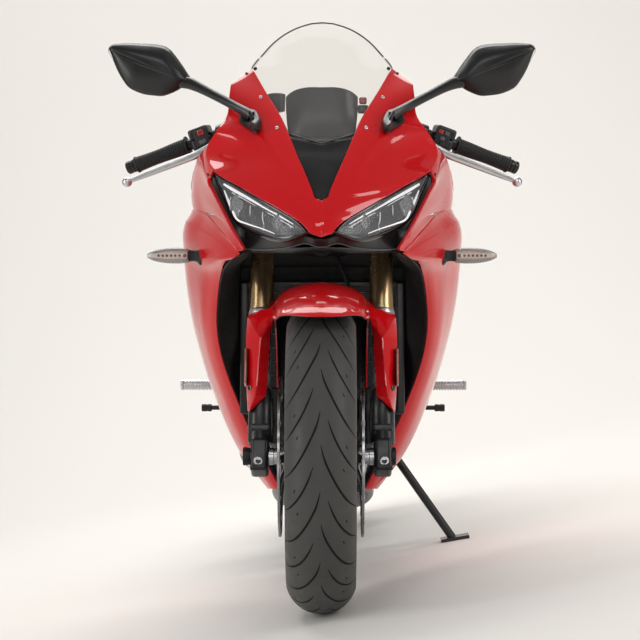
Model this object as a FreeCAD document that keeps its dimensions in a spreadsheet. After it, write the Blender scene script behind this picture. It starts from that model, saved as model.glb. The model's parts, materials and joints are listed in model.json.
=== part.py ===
import FreeCAD, Part
import math
import os
import Sketcher
from FreeCAD import Placement, Rotation, Vector

# Sport motorcycle, fully faired, parked on its side stand.
# Every piece is laid out with the machine upright: +X is the machine's left, +Y points to the tail, +Z is up,
# with the front axle over y = 0 and the ground at z = 0.  The whole machine is then leaned over onto the stand.

doc = FreeCAD.newDocument("sport_motorcycle")
sheet = doc.addObject("Spreadsheet::Sheet", "Params")

VALUES = [
    ("wheelbase", 1400.0), ("front_tyre_rad", 290.0), ("front_tyre_halfw", 63.0), ("rear_tyre_rad", 305.0), ("rear_tyre_halfw", 80.0),
    ("bead_rad", 217.4), ("rim_flange_rad", 226.0), ("front_rim_halfw", 50.0), ("rear_rim_halfw", 70.0),
    ("axle_rad", 12.5), ("axle_bore_rad", 8.5), ("hub_bore_rad", 12.56), ("front_hub_rad", 33.0), ("rear_hub_rad", 42.0),
    ("fork_halfspan", 114.0), ("fork_tube_rad", 22.5), ("fork_slider_rad", 18.5), ("fork_foot_rad", 23.0),
    ("disc_rad", 150.0), ("disc_thick", 4.6), ("disc_offset", 76.0), ("rear_disc_rad", 110.0),
    ("stem_rad", 15.0), ("stem_bore_rad", 8.5), ("headstock_rad", 34.0), ("headstock_bore_rad", 15.06),
    ("clamp_thick", 30.0), ("top_clamp_thick", 22.0), ("bar_rad", 11.0), ("grip_rad", 14.5), ("grip_length", 118.0),
    ("panel_thick", 4.0), ("screen_thick", 3.0), ("spool_thread_rad", 4.0), ("plate_hole_rad", 3.0), ("plate_hole_span", 130.0),
    ("swingarm_thick", 26.0), ("rear_axle_rad", 10.0), ("chain_width", 10.0), ("sprocket_rad", 93.0), ("sprocket_thick", 6.0),
    ("peg_rad", 11.0), ("lid_rad", 46.0), ("lid_thick", 9.0), ("filler_bore_rad", 22.0), ("filler_depth", 45.0),
    ("stand_leg_rad", 9.0), ("radiator_depth", 30.0), ("radiator_width", 330.0), ("radiator_height", 268.0),
    ("seat_rail_rad", 12.0), ("spring_rad", 34.0), ("silencer_length", 262.0), ("engine_width", 280.0), ("reflector_height", 42.0),
]
VAL = {}
for i, (alias, value) in enumerate(VALUES):
    sheet.set("A%d" % (i + 1), alias)
    sheet.set("B%d" % (i + 1), repr(value))
    sheet.setAlias("B%d" % (i + 1), alias)
    VAL[alias] = value
doc.recompute()


class Q:
    """A size with its number and the sheet expression that it comes from."""

    def __init__(self, value, text):
        self.v, self.t = float(value), text

    def _o(self, other):
        return other if isinstance(other, Q) else Q(other, repr(float(other)))

    def __add__(self, other):
        o = self._o(other)
        return Q(self.v + o.v, "(%s + %s)" % (self.t, o.t))

    def __sub__(self, other):
        o = self._o(other)
        return Q(self.v - o.v, "(%s - %s)" % (self.t, o.t))

    def __mul__(self, other):
        o = self._o(other)
        return Q(self.v * o.v, "(%s * %s)" % (self.t, o.t))

    def __neg__(self):
        return Q(-self.v, "(-1 * %s)" % self.t)


def P(alias):
    return Q(VAL[alias], "Params." + alias)


def num(q):
    return q.v if isinstance(q, Q) else float(q)


def size(obj, prop, q):
    setattr(obj, prop, num(q))
    if isinstance(q, Q):
        obj.setExpression(prop, q.t)


RAKE = math.radians(24.5)
SR, CR = math.sin(RAKE), math.cos(RAKE)
U = Vector(0, SR, CR)          # up the fork
N = Vector(0, CR, -SR)         # square to the fork, to the rear
AX = Vector(0, 27.3, 277.6)    # the steering axis passes here, 30 mm behind the axle
FAX = Vector(0, 0, 290)
RAX = Vector(0, 1400, 305.3)
FORK = Rotation(Vector(1, 0, 0), -24.5)


def leg(t, side=1, n=0.0, dx=0.0):
    """A point at t up the fork leg from the axle, n to its rear and dx outward."""
    return Vector(side * (VAL["fork_halfspan"] + dx), 0, 290) + U * t + N * n


def head(t, x=0.0, n=0.0):
    return AX + U * t + N * n + Vector(x, 0, 0)


def rot_to(axis):
    return Rotation(Vector(0, 0, 1), Vector(axis))


def cyl(name, r, h, base, axis=(0, 0, 1)):
    o = doc.addObject("Part::Cylinder", name)
    size(o, "Radius", r)
    size(o, "Height", h)
    o.Placement = Placement(Vector(base), rot_to(axis))
    return o


def rod(name, r, a, b):
    a, b = Vector(a), Vector(b)
    return cyl(name, r, (b - a).Length, a, b - a)


def cone(name, r1, r2, a, b):
    a, b = Vector(a), Vector(b)
    o = doc.addObject("Part::Cone", name)
    size(o, "Radius1", r1)
    size(o, "Radius2", r2)
    size(o, "Height", (b - a).Length)
    o.Placement = Placement(a, rot_to(b - a))
    return o


def ball(name, r, c):
    o = doc.addObject("Part::Sphere", name)
    size(o, "Radius", r)
    o.Placement = Placement(Vector(c), Rotation())
    return o


def box(name, lx, ly, lz, centre, rot=None):
    o = doc.addObject("Part::Box", name)
    size(o, "Length", lx)
    size(o, "Width", ly)
    size(o, "Height", lz)
    r = rot or Rotation()
    o.Placement = Placement(Vector(centre) - r.multVec(Vector(num(lx) / 2, num(ly) / 2, num(lz) / 2)), r)
    return o


def fuse(name, *objs):
    o = doc.addObject("Part::MultiFuse", name)
    o.Shapes = list(objs)
    return o


def cut(name, a, b):
    o = doc.addObject("Part::Cut", name)
    o.Base, o.Tool = a, b
    return o


def both(name, *objs):
    """Like pieces that don't touch, kept as one compound."""
    o = doc.addObject("Part::Compound", name)
    o.Links = list(objs)
    return o


def raw(name, shape):
    o = doc.addObject("Part::Feature", name)
    o.Shape = shape
    return o


def mirror(name, obj):
    o = doc.addObject("Part::Mirroring", name)
    o.Source = obj
    o.Base = Vector(0, 0, 0)
    o.Normal = Vector(1, 0, 0)
    return o


def plane(body, role):
    return [f for f in body.Origin.OriginFeatures if f.Role == role][0]


def outline(body, role, verts, arcs=None, name="Sketch"):
    """A closed outline.  verts are (x, y) sizes; arcs maps a segment's index to a point that its arc passes through."""
    arcs = arcs or {}
    sk = body.newObject("Sketcher::SketchObject", name)
    sk.AttachmentSupport = [(plane(body, role), "")]
    sk.MapMode = "FlatFace"
    pts = [Vector(num(x), num(y), 0) for x, y in verts]
    n = len(pts)
    ends = []
    for i in range(n):
        a, b = pts[i], pts[(i + 1) % n]
        if i in arcs:
            g = Part.Arc(a, Vector(arcs[i][0], arcs[i][1], 0), b)
            k = sk.addGeometry(g, False)
            e = sk.Geometry[k]
            flip = (sk.getPoint(k, 1) - a).Length > 1e-3
            ends.append((k, 2 if flip else 1, 1 if flip else 2))
            sk.addConstraint(Sketcher.Constraint("Radius", k, e.Radius))
        else:
            k = sk.addGeometry(Part.LineSegment(a, b), False)
            ends.append((k, 1, 2))
    for i in range(n):
        k, s, e = ends[i]
        k2, s2, e2 = ends[(i + 1) % n]
        sk.addConstraint(Sketcher.Constraint("Coincident", k, e, k2, s2))
    for i in range(n):
        k, s, e = ends[i]
        for axis, q in (("DistanceX", verts[i][0]), ("DistanceY", verts[i][1])):
            v = num(q)
            if abs(v) < 1e-9:
                sk.addConstraint(Sketcher.Constraint("PointOnObject", k, s, -2 if axis == "DistanceX" else -1))
                continue
            if v > 0:
                c = sk.addConstraint(Sketcher.Constraint(axis, -1, 1, k, s, v))
            else:
                c = sk.addConstraint(Sketcher.Constraint(axis, k, s, -1, 1, -v))
            if isinstance(q, Q):
                sk.setExpression("Constraints[%d]" % c, q.t if v > 0 else "-1 * %s" % q.t)
    return sk


def new_body(name):
    return doc.addObject("PartDesign::Body", name)


def add_pad(body, sk, length, symmetric=True, reverse=False, name="Pad"):
    p = body.newObject("PartDesign::Pad", name)
    p.Profile = sk
    size(p, "Length", length)
    if symmetric:
        try:
            p.SideType = "Symmetric"
        except Exception:
            p.Midplane = True
    p.Reversed = reverse
    return p


def add_rev(body, sk, axis="H_Axis", name="Revolution", angle=360.0):
    r = body.newObject("PartDesign::Revolution", name)
    r.Profile = sk
    r.ReferenceAxis = (sk, [axis])
    r.Angle = angle
    return r


def add_pocket(body, sk, length, name="Pocket"):
    p = body.newObject("PartDesign::Pocket", name)
    p.Profile = sk
    size(p, "Length", length)
    try:
        p.SideType = "Symmetric"
    except Exception:
        p.Midplane = True
    return p


def polar(body, feats, role, count, name="PolarPattern"):
    p = body.newObject("PartDesign::PolarPattern", name)
    p.Originals = feats
    p.Axis = (plane(body, role), [""])
    p.Angle = 360.0
    p.Occurrences = count
    body.Tip = p
    return p


def padded(name, role, verts, thick, arcs=None, place=None):
    b = new_body(name)
    sk = outline(b, role, verts, arcs)
    add_pad(b, sk, thick)
    if place:
        b.Placement = place
    return b


def hole(body, role, x, y, r, depth, name="HoleSketch"):
    sk = body.newObject("Sketcher::SketchObject", name)
    sk.AttachmentSupport = [(plane(body, role), "")]
    sk.MapMode = "FlatFace"
    k = sk.addGeometry(Part.Circle(Vector(num(x), num(y), 0), Vector(0, 0, 1), num(r)), False)
    c = sk.addConstraint(Sketcher.Constraint("Radius", k, num(r)))
    if isinstance(r, Q):
        sk.setExpression("Constraints[%d]" % c, r.t)
    for axis, v in (("DistanceX", num(x)), ("DistanceY", num(y))):
        if abs(v) < 1e-9:
            sk.addConstraint(Sketcher.Constraint("PointOnObject", k, 3, -2 if axis == "DistanceX" else -1))
        elif v > 0:
            sk.addConstraint(Sketcher.Constraint(axis, -1, 1, k, 3, v))
        else:
            sk.addConstraint(Sketcher.Constraint(axis, k, 3, -1, 1, -v))
    return add_pocket(body, sk, depth)


def loft(name, wires, ruled=False):
    return raw(name, Part.makeLoft(wires, True, ruled))


def rect_wire(c, u, v, hu, hv):
    """A rectangle round c, half sizes hu along u and hv along v."""
    c, u, v = Vector(c), Vector(u), Vector(v)
    p = [c + u * hu + v * hv, c - u * hu + v * hv, c - u * hu - v * hv, c + u * hu - v * hv]
    return Part.makePolygon(p + [p[0]])


def beam(name, stations, u=(1, 0, 0)):
    """A box beam through stations of (centre, half width in x, half height); the section stands square to the run."""
    pts = [Vector(s[0]) for s in stations]
    wires = []
    for i, s in enumerate(stations):
        d = pts[min(i + 1, len(pts) - 1)] - pts[max(i - 1, 0)]
        d.x = 0
        d.normalize()
        v = d.cross(Vector(u))
        wires.append(rect_wire(s[0], u, v, s[1], s[2]))
    return loft(name, wires, True)


def ring_wire(y, pts):
    """A closed smooth section in the plane at y, from half points (x, z) given from the bottom centre to the top centre."""
    right = [Vector(x, y, z) for x, z in pts]
    left = [Vector(-x, y, z) for x, z in reversed(pts[1:-1])]
    s = Part.BSplineCurve()
    s.interpolate(right + left, PeriodicFlag=True)
    return Part.Wire([s.toShape()])


def pipe(points, r, bends):
    """A round tube along straight runs joined by tangent arcs."""
    pts = [Vector(p) for p in points]
    edges, last = [], pts[0]
    for i in range(1, len(pts) - 1):
        a, b, c = pts[i - 1], pts[i], pts[i + 1]
        d1, d2 = (a - b).normalize(), (c - b).normalize()
        ang = d1.getAngle(d2)
        k = bends[i - 1] if isinstance(bends, (list, tuple)) else bends
        k = min(k, 0.45 * min((a - b).Length, (c - b).Length) * math.tan(ang / 2))
        t = k / math.tan(ang / 2)
        p1, p2 = b + d1 * t, b + d2 * t
        m = (d1 + d2).normalize()
        mid = b + m * (k / math.sin(ang / 2) - k)
        edges.append(Part.LineSegment(last, p1).toShape())
        edges.append(Part.Arc(p1, mid, p2).toShape())
        last = p2
    edges.append(Part.LineSegment(last, pts[-1]).toShape())
    w = Part.Wire(edges)
    prof = Part.Wire([Part.makeCircle(r, pts[0], pts[1] - pts[0])])
    return w.makePipeShell([prof], True, False)


# ---- skin surfaces: rows of points, seen from straight ahead ----
# A front point is (half width, row, depth): the half width and row are where it shows from 4 m in front of the front
# axle at 600 mm height, with 2160 rows to the unit of distance; the depth is its y.

def fp(h, row, y):
    k = 2160.0 / (4000.0 + y)
    return (h / k, y, 600.0 + (289.0 - row) / k)


def mix(a, b, t):
    return a + (b - a) * t


def span(inner, outer, n, power=1.5, bow=0.0):
    """n front points from inner to outer; the depth grows by the power and the row bows upward."""
    rows = []
    for i in range(n):
        t = i / (n - 1.0)
        rows.append(fp(mix(inner[0], outer[0], t), mix(inner[1], outer[1], t) - bow * math.sin(math.pi * t), mix(inner[2], outer[2], t ** power)))
    return rows


COWL = [
    ((0, 237.3, -92), (11.3, 233.5, -86)), ((0, 231, -93), (14.4, 228.9, -83)), ((0, 224, -90), (20.5, 222.8, -76)),
    ((0, 217, -84), (29.7, 216.6, -63)), ((0, 209, -74), (45, 207.5, -42)), ((0, 201, -62), (68, 194.4, -5)),
    ((8.5, 192, -47), (91, 181.4, 42)), ((14.5, 177, -24), (107.3, 171.5, 84)), ((23, 158, 10), (114.8, 147, 146)),
    ((32.5, 135, 55), (106.6, 133, 128)), ((40.5, 117, 95), (94.5, 115, 144)), ((53.5, 96, 145), (92.8, 99, 158)),
    ((69.5, 68.5, 215), (91, 84.5, 185)),
]
COWL_GRID = [span(a, b, 7, 1.45, 0.0) for a, b in COWL]

VPANEL = [((0, 200, -60), (2.5, 199.2, -59)), ((0, 192, -47), (8.3, 192, -44)), ((0, 177, -24), (14.4, 177, -20)), ((0, 158, 8), (23, 158, 12)), ((0, 150.5, 22), (27, 150.0, 28)), ((0, 144.6, 32), (32.8, 137.2, 53))]
SCREEN = [((0, 143.2, 42), (33.5, 133, 64)), ((0, 125, 72), (41, 117.5, 97)), ((0, 105, 108), (53.8, 96.5, 146)), ((0, 80, 162), (69.8, 68, 217)),
          ((0, 60, 205), (59, 54.5, 246)), ((0, 43, 246), (46, 41, 270)), ((0, 31, 280), (27.5, 29.3, 292)), ((0, 22.9, 306), (11, 23.9, 307))]
SCREEN_GRID = [span(a, b, 6, 2.0, 0.0) for a, b in SCREEN]


def side_pts(row_pts, rear):
    return [fp(*p) for p in row_pts] + [tuple(p) for p in rear]


# cheek panel beside the headlamp, wrapping back below the handlebar
CHEEK_GRID = [
    side_pts([(108.3, 171, 90), (110.3, 164, 112), (113, 155, 138), (115.3, 148, 166)], [(226, 215, 856), (240, 300, 808), (234, 390, 778), (214, 500, 782)]),
    side_pts([(106.5, 181, 80), (113, 174, 120), (120, 168, 175), (126.8, 165, 232)], [(256, 290, 800), (255, 350, 780), (247, 430, 774), (226, 520, 776)]),
    side_pts([(100.5, 194, 64), (110, 190, 110), (121, 187, 180), (130, 184, 262)], [(260, 315, 788), (260, 375, 768), (252, 450, 765), (232, 535, 769)]),
    side_pts([(94, 209, 46), (106, 204, 100), (119.5, 201, 180), (130.6, 199, 272)], [(260, 325, 774), (259, 385, 761), (252, 460, 760), (236, 545, 762)]),
    side_pts([(87.5, 224.5, 27), (100, 217, 80), (115, 212, 165), (128.8, 210, 268)], [(257, 328, 757), (256, 388, 755), (250, 465, 754), (238, 552, 754)]),
]
# the cheek's chin, running down to its pointed tip
CHIN_GRID = [
    [fp(87.5, 224.5, 27), fp(96, 219.5, 62), fp(105.5, 216, 112), fp(114, 214, 160)],
    [fp(84.5, 231, 18), fp(91.5, 228, 45), fp(98.5, 226, 78), fp(105, 225, 112)],
    [fp(80.5, 239, 6), fp(85.5, 237.5, 24), fp(91, 236.5, 46), fp(96, 236, 68)],
    [fp(77, 247.5, -6), fp(79.5, 248, 2), fp(82.5, 248.5, 12), fp(85, 249, 20)],
]
# main side fairing, from the shoulder under the cheek down to the belly
MAIN_GRID = [
    side_pts([(83, 253, 14), (93, 247, 52), (106, 238, 110), (121, 229, 190), (136.5, 221.5, 285)], [(272, 350, 735), (268, 440, 742), (246, 580, 750)]),
    side_pts([(87, 257, 30), (97, 256, 66), (110, 252.5, 125), (126, 244, 210), (139.4, 233, 305)], [(277, 370, 708), (272, 460, 712), (244, 610, 718)]),
    side_pts([(96, 262, 88), (104, 262.5, 110), (114, 262, 155), (128, 257, 235), (138.8, 250, 325)], [(277, 395, 673), (272, 480, 675), (242, 640, 678)]),
    side_pts([(100.8, 273, 155), (107, 273, 168), (115.5, 273, 200), (127.5, 272, 265), (137.3, 270, 345)], [(275, 415, 634), (270, 500, 634), (240, 670, 632)]),
    side_pts([(104.5, 298, 218), (109.5, 298, 224), (117, 298, 246), (126.5, 298, 300), (134.2, 298, 378)], [(271, 445, 580), (267, 530, 578), (238, 715, 570)]),
    side_pts([(105.6, 325, 262), (109.8, 325, 267), (116.5, 325, 285), (123.5, 325, 330), (129.3, 325, 402)], [(263, 470, 526), (260, 560, 522), (232, 755, 510)]),
    side_pts([(102.3, 350, 300), (106.2, 350, 304), (112.5, 350, 320), (118.3, 350, 358), (123, 350, 424)], [(252, 492, 474), (250, 585, 468), (229, 755, 455)]),
    side_pts([(95.2, 375, 334), (99.2, 375, 338), (105.5, 375, 352), (111, 375, 386), (115.5, 375, 444)], [(238, 510, 423), (236, 590, 416), (220, 735, 402)]),
    side_pts([(86.2, 398, 360), (90.4, 398, 364), (97, 398, 378), (102.5, 398, 408), (107, 398, 460)], [(222, 520, 376), (221, 595, 368), (211, 705, 356)]),
    side_pts([(74, 428, 390), (78.5, 428, 394), (85, 428, 406), (90.8, 428, 432), (95.2, 428, 474)], [(198, 535, 315), (198, 605, 306), (191, 700, 293)]),
    side_pts([(60.5, 455, 418), (65, 455, 422), (71.5, 455, 433), (77, 455, 455), (81, 455, 486)], [(169, 545, 260), (170, 615, 251), (166, 700, 240)]),
    side_pts([(50.5, 474, 438), (54.5, 474, 442), (59.5, 474, 452), (63.5, 474, 470), (66.8, 474, 496)], [(140, 556, 221), (141, 620, 213), (138, 695, 204)]),
    side_pts([(43.5, 489, 450), (46.5, 489, 453), (50, 489, 462), (53, 489, 478), (55.2, 489, 502)], [(116, 562, 190), (117, 625, 184), (115, 690, 178)]),
]
# headlamp face and the black chin below it
LAMP = [((16.5, 231, -70), (29, 236, -60)), ((24, 222.6, -58), (45, 236.8, -38)), ((45.5, 209.6, -30), (62.5, 231, -8)), ((68, 197, 8), (75, 225, 16)), ((90, 184.4, 52), (88, 215, 44)), ((105.5, 175.5, 88), (96, 196, 72))]


def lamp_grid(rows):
    g = []
    for a, b in rows:
        g.append([fp(mix(a[0], b[0], t), mix(a[1], b[1], t), mix(a[2], b[2], t) - 6 * math.sin(math.pi * t)) for t in (0, 0.33, 0.67, 1)])
    return g


LAMP_GRID = lamp_grid(LAMP)
CHINBAR = [((4, 240, -66), (3, 247, -52)), ((16, 236.5, -58), (15, 243.6, -46)), ((31, 239, -48), (30, 247, -30)), ((46, 239.5, -28), (45, 249, -8)), ((62.5, 235, 2), (60, 249.8, 16)), ((76.5, 227.5, 28), (75.3, 249, 34))]
CHINBAR_GRID = [[fp(mix(a[0], b[0], t), mix(a[1], b[1], t), mix(a[2], b[2], t)) for t in (0, 0.5, 1)] for a, b in CHINBAR]


def vec_grid(g, side=1):
    return [[Vector(side * x, y, z) for x, y, z in row] for row in g]


def row_wire(points):
    c = Part.BSplineCurve()
    c.interpolate(points)
    return Part.Wire([c.toShape()])


def skin(grid, push, ruled=False):
    """A panel through the rows of points, thickened along push."""
    rows = [row_wire(row) for row in vec_grid(grid)]
    if not ruled:
        return Part.makeLoft(rows, False, False).Faces[0].extrude(Vector(push))
    strips = [Part.makeLoft([a, b], False, True).Faces[0].extrude(Vector(push)) for a, b in zip(rows, rows[1:])]
    return strips[0].multiFuse(strips[1:])


def strips_of(grid, push):
    rows = [row_wire(row) for row in vec_grid(grid)]
    return [Part.makeLoft([a, b], False, True).Faces[0].extrude(Vector(push)) for a, b in zip(rows, rows[1:])]


def pair(shape):
    return Part.Compound([shape, shape.mirror(Vector(0, 0, 0), Vector(1, 0, 0))])


def full_grid(half):
    """Rows from the right edge over the middle to the left edge."""
    return [[(-x, y, z) for x, y, z in reversed(row[1:])] + list(row) for row in half]


def biggest(shape, n=1, frac=0.2):
    """The largest solids of a shape."""
    ss = sorted(shape.Solids, key=lambda q: -q.Volume)
    ss = [q for q in ss[:n] if q.Volume > frac * ss[0].Volume]
    return ss[0] if len(ss) == 1 else Part.Compound(ss)


NODES = []


def node(obj, label):
    NODES.append((obj, label))
    return obj


# ================= front wheel =================
def tyre(name, rad, hw, bead_x, sh_r, sh_x, inner_drop, place):
    b = new_body(name)
    bead, fl = P("bead_rad"), P("rim_flange_rad")
    r, w = P(rad), P(hw)
    v = [
        (bead_x, bead), (bead_x, fl + 0.6), (w - sh_x, fl + 4.5), (w, sh_r), (0, r), (-w, sh_r), (-(w - sh_x), fl + 4.5), (-bead_x, fl + 0.6), (-bead_x, bead),
        (-(bead_x - 12), bead), (-(bead_x - 7), fl + 6), (-(w - 10), sh_r + 2), (0, r - inner_drop), (w - 10, sh_r + 2), (bead_x - 7, fl + 6), (bead_x - 12, bead),
    ]
    W, R = VAL[hw], VAL[rad]
    rc = (W * W + (R - sh_r) ** 2) / (2 * (R - sh_r))
    a = 0.55 * math.asin(min(0.999, W / rc))
    ri = (R - inner_drop)
    wi = W - 10
    hi = ri - (sh_r + 2)
    rci = (wi * wi + hi * hi) / (2 * hi)
    ai = 0.55 * math.asin(min(0.999, wi / rci))
    arcs = {
        3: (rc * math.sin(a), R - rc + rc * math.cos(a)), 4: (-rc * math.sin(a), R - rc + rc * math.cos(a)),
        11: (-rci * math.sin(ai), ri - rci + rci * math.cos(ai)), 12: (rci * math.sin(ai), ri - rci + rci * math.cos(ai)),
    }
    sk = outline(b, "XZ_Plane", v, arcs)
    add_rev(b, sk)
    b.Placement = place
    return b


def rim(name, hw, thick, hub_r, hub_hw, place):
    b = new_body(name)
    w = P(hw)
    f = P("rim_flange_rad")
    v = [(w, f), (w - 6, f), (w - 6, 217.0), (w - 30, 214.0), (w - 36, 203.0), (-(w - 36), 203.0), (-(w - 30), 214.0), (-(w - 6), 217.0), (-(w - 6), f), (-w, f),
         (-w, 212.0), (-(w - 24), 207.0), (-(w - 32), 197.0), (w - 32, 197.0), (w - 24, 207.0), (w, 212.0)]
    add_rev(b, outline(b, "XZ_Plane", v, name="BarrelSketch"), name="Barrel")
    spoke = [(-17, 20), (-17, 95), (-64, 190), (-50, 195.5), (-5, 120), (5, 120), (50, 195.5), (64, 190), (17, 95), (17, 20)]
    pad = add_pad(b, outline(b, "YZ_Plane", spoke, name="SpokeSketch"), thick, name="Spoke")
    polar(b, [pad], "X_Axis", 5)
    hubv = [(-hub_hw, P("hub_bore_rad")), (hub_hw, P("hub_bore_rad")), (hub_hw, P(hub_r)), (-hub_hw, P(hub_r))]
    add_rev(b, outline(b, "XZ_Plane", hubv, name="HubSketch"), name="Hub")
    # the axle's bore, cleared through the spokes' inner ends
    hole(b, "YZ_Plane", 0, 0, P("hub_bore_rad"), 300.0, name="BoreSketch")
    b.Placement = place
    return b


F_PL = Placement(FAX, Rotation())
R_PL = Placement(RAX, Rotation())
node(tyre("front_tyre_body", "front_tyre_rad", "front_tyre_halfw", 43.8, 243.0, 8.0, 9.0, F_PL), "front_tyre")
node(rim("front_rim_body", "front_rim_halfw", 30.0, "front_hub_rad", 62.0, F_PL), "front_rim")


def disc(name, outer, ring_in, thick, x, place, win=(52.0, 112.0), count=6, bore=40.0):
    b = new_body(name)
    sk = b.newObject("Sketcher::SketchObject", "DiscSketch")
    sk.AttachmentSupport = [(plane(b, "YZ_Plane"), "")]
    sk.MapMode = "FlatFace"
    for rr in (P(outer), bore):
        k = sk.addGeometry(Part.Circle(Vector(0, 0, 0), Vector(0, 0, 1), num(rr)), False)
        sk.addConstraint(Sketcher.Constraint("Coincident", k, 3, -1, 1))
        c = sk.addConstraint(Sketcher.Constraint("Radius", k, num(rr)))
        if isinstance(rr, Q):
            sk.setExpression("Constraints[%d]" % c, rr.t)
    add_pad(b, sk, thick, name="DiscPad")
    if count:
        a = math.pi / count * 0.72
        lo, hi = win
        vs = [(hi * math.sin(-a), hi * math.cos(a)), (hi * math.sin(a), hi * math.cos(a)), (lo * math.sin(a * 0.8), lo * math.cos(a * 0.8)), (lo * math.sin(-a * 0.8), lo * math.cos(a * 0.8))]
        pk = add_pocket(b, outline(b, "YZ_Plane", vs, {0: (0, hi)}, name="WindowSketch"), 30.0, name="Window")
        polar(b, [pk], "X_Axis", count)
    b.Placement = Placement(place.Base + Vector(x, 0, 0), place.Rotation)
    return b


d1 = disc("disc_left", "disc_rad", 116.0, P("disc_thick"), VAL["disc_offset"], F_PL)
d2 = disc("disc_right", "disc_rad", 116.0, P("disc_thick"), -VAL["disc_offset"], F_PL)
sp1 = cut("disc_hat_l", cyl("hat_lo", 50.0, 11.4, FAX + Vector(62.2, 0, 0), (1, 0, 0)), cyl("hat_li", 40.0, 11.4, FAX + Vector(62.2, 0, 0), (1, 0, 0)))
sp2 = cut("disc_hat_r", cyl("hat_ro", 50.0, 11.4, FAX + Vector(-62.2, 0, 0), (-1, 0, 0)), cyl("hat_ri", 40.0, 11.4, FAX + Vector(-62.2, 0, 0), (-1, 0, 0)))
hat1 = cut("hatweb_l", cyl("hatweb_lo", 50.0, 2.0, FAX + Vector(60.2, 0, 0), (1, 0, 0)), cyl("hatweb_li", 33.05, 2.0, FAX + Vector(60.2, 0, 0), (1, 0, 0)))
hat2 = cut("hatweb_r", cyl("hatweb_ro", 50.0, 2.0, FAX + Vector(-60.2, 0, 0), (-1, 0, 0)), cyl("hatweb_ri", 33.05, 2.0, FAX + Vector(-60.2, 0, 0), (-1, 0, 0)))
node(both("front_discs", fuse("disc_l", d1, sp1, hat1), fuse("disc_r", d2, sp2, hat2)), "front_brake_discs")

# ================= steering assembly =================


gl = [fuse("upper_tube_" + k, rod("ut_" + k, P("fork_tube_rad"), leg(285, s), leg(722, s)), rod("utl_" + k, 24.0, leg(285, s), leg(297, s))) for k, s in (("l", 1), ("r", -1))]
caps = [fuse("cap_" + k, rod("capa_" + k, 20.0, leg(720, s), leg(732, s)), rod("capb_" + k, 11.0, leg(731, s), leg(746, s))) for k, s in (("l", 1), ("r", -1))]
node(both("fork_upper", *[fuse("fork_tube_" + k, g_, c_) for k, g_, c_ in zip("lr", gl, caps)]), "fork_upper_tubes")
low = []
for k, s in (("l", 1), ("r", -1)):
    slid = rod("slider_" + k, P("fork_slider_rad"), leg(130, s), leg(284.8, s))
    foot = rod("foot_" + k, P("fork_foot_rad"), leg(26, s), leg(132, s))
    blk = box("footblk_" + k, 33.0, 52.0, 62.0, Vector(s * 114, 0, 288), FORK)
    lug = box("lug_" + k, 9.6, 96.0, 74.0, leg(104, s, 62, -10.9), FORK)
    f = fuse("fork_low_" + k, slid, foot, blk, lug)
    low.append(cut("fork_bot_" + k, f, cyl("axh_" + k, 12.55, 60.0, Vector(s * 84, 0, 290), (s, 0, 0))))
node(both("fork_lower", *low), "fork_bottoms")
ax_out = fuse("axle_out", cyl("axle_rod", P("axle_rad"), 274.0, Vector(-137, 0, 290), (1, 0, 0)), cyl("axle_head", 17.0, 7.0, Vector(-138, 0, 290), (-1, 0, 0)),
              cyl("spacer_l", 16.0, 31.0, Vector(65.5, 0, 290), (1, 0, 0)), cyl("spacer_r", 16.0, 31.0, Vector(-65.5, 0, 290), (-1, 0, 0)), cyl("axle_nut", 17.0, 7.0, Vector(131, 0, 290), (1, 0, 0)))
node(cut("axle", ax_out, cyl("axle_bore", P("axle_bore_rad"), 320.0, Vector(-160, 0, 290), (1, 0, 0))), "front_axle")

cal = []
for k, s in (("l", 1), ("r", -1)):
    c0 = leg(104, s, 82)
    blk = box("calblk_" + k, 44.0, 58.0, 118.0, Vector(s * 76, c0.y, c0.z), FORK)
    slot = cyl("calslot_" + k, 154.0, 8.6, Vector(s * 76 - 4.3, 0, 290), (1, 0, 0))
    cal.append(cut("cal_" + k, blk, slot))
node(both("calipers", *cal), "front_calipers")


def yoke(name, t, thick, hole_r):
    b = new_body(name)
    v = [(-142, -30), (-130, -54), (-98, -58), (-50, -40), (50, -40), (98, -58), (130, -54), (142, -30), (130, -6), (60, 18), (26, 32), (-26, 32), (-60, 18), (-130, -6)]
    add_pad(b, outline(b, "XY_Plane", v, name="YokeSketch"), thick)
    for x in (-114, 114):
        hole(b, "XY_Plane", x, -30, P("fork_tube_rad") + 0.06, 80.0, "LegHole%d" % (x > 0))
    hole(b, "XY_Plane", 0, 0, hole_r, 80.0, "StemHole")
    b.Placement = Placement(head(t), FORK)
    return b


lower_yoke = yoke("lower_yoke", 452.0, P("clamp_thick"), P("stem_rad") - 1.0)
node(yoke("upper_yoke", 655.0, P("top_clamp_thick"), P("stem_rad") + 0.05), "upper_triple_clamp")
stem = fuse("stem_out", rod("stem_rod", P("stem_rad"), head(432), head(684)), rod("stem_nut", 21.0, head(666.2), head(682)))
node(cut("stem", fuse("stem_yoke", stem, lower_yoke), rod("stem_hole", P("stem_bore_rad"), head(400), head(700))), "lower_triple_clamp")

# handlebars: clip-on rings above the top clamp, bars reaching out and down
GI = Vector(264.4, 300, 886.5)
GO = Vector(391.5, 335, 841.8)
BD = (GO - GI).normalize()


def bar_at(x, s=1):
    p = GI + BD * ((x - GI.x) / BD.x)
    return Vector(s * p.x, p.y, p.z)


def bar_dir(s):
    return Vector(s * BD.x, BD.y, BD.z)


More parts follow.
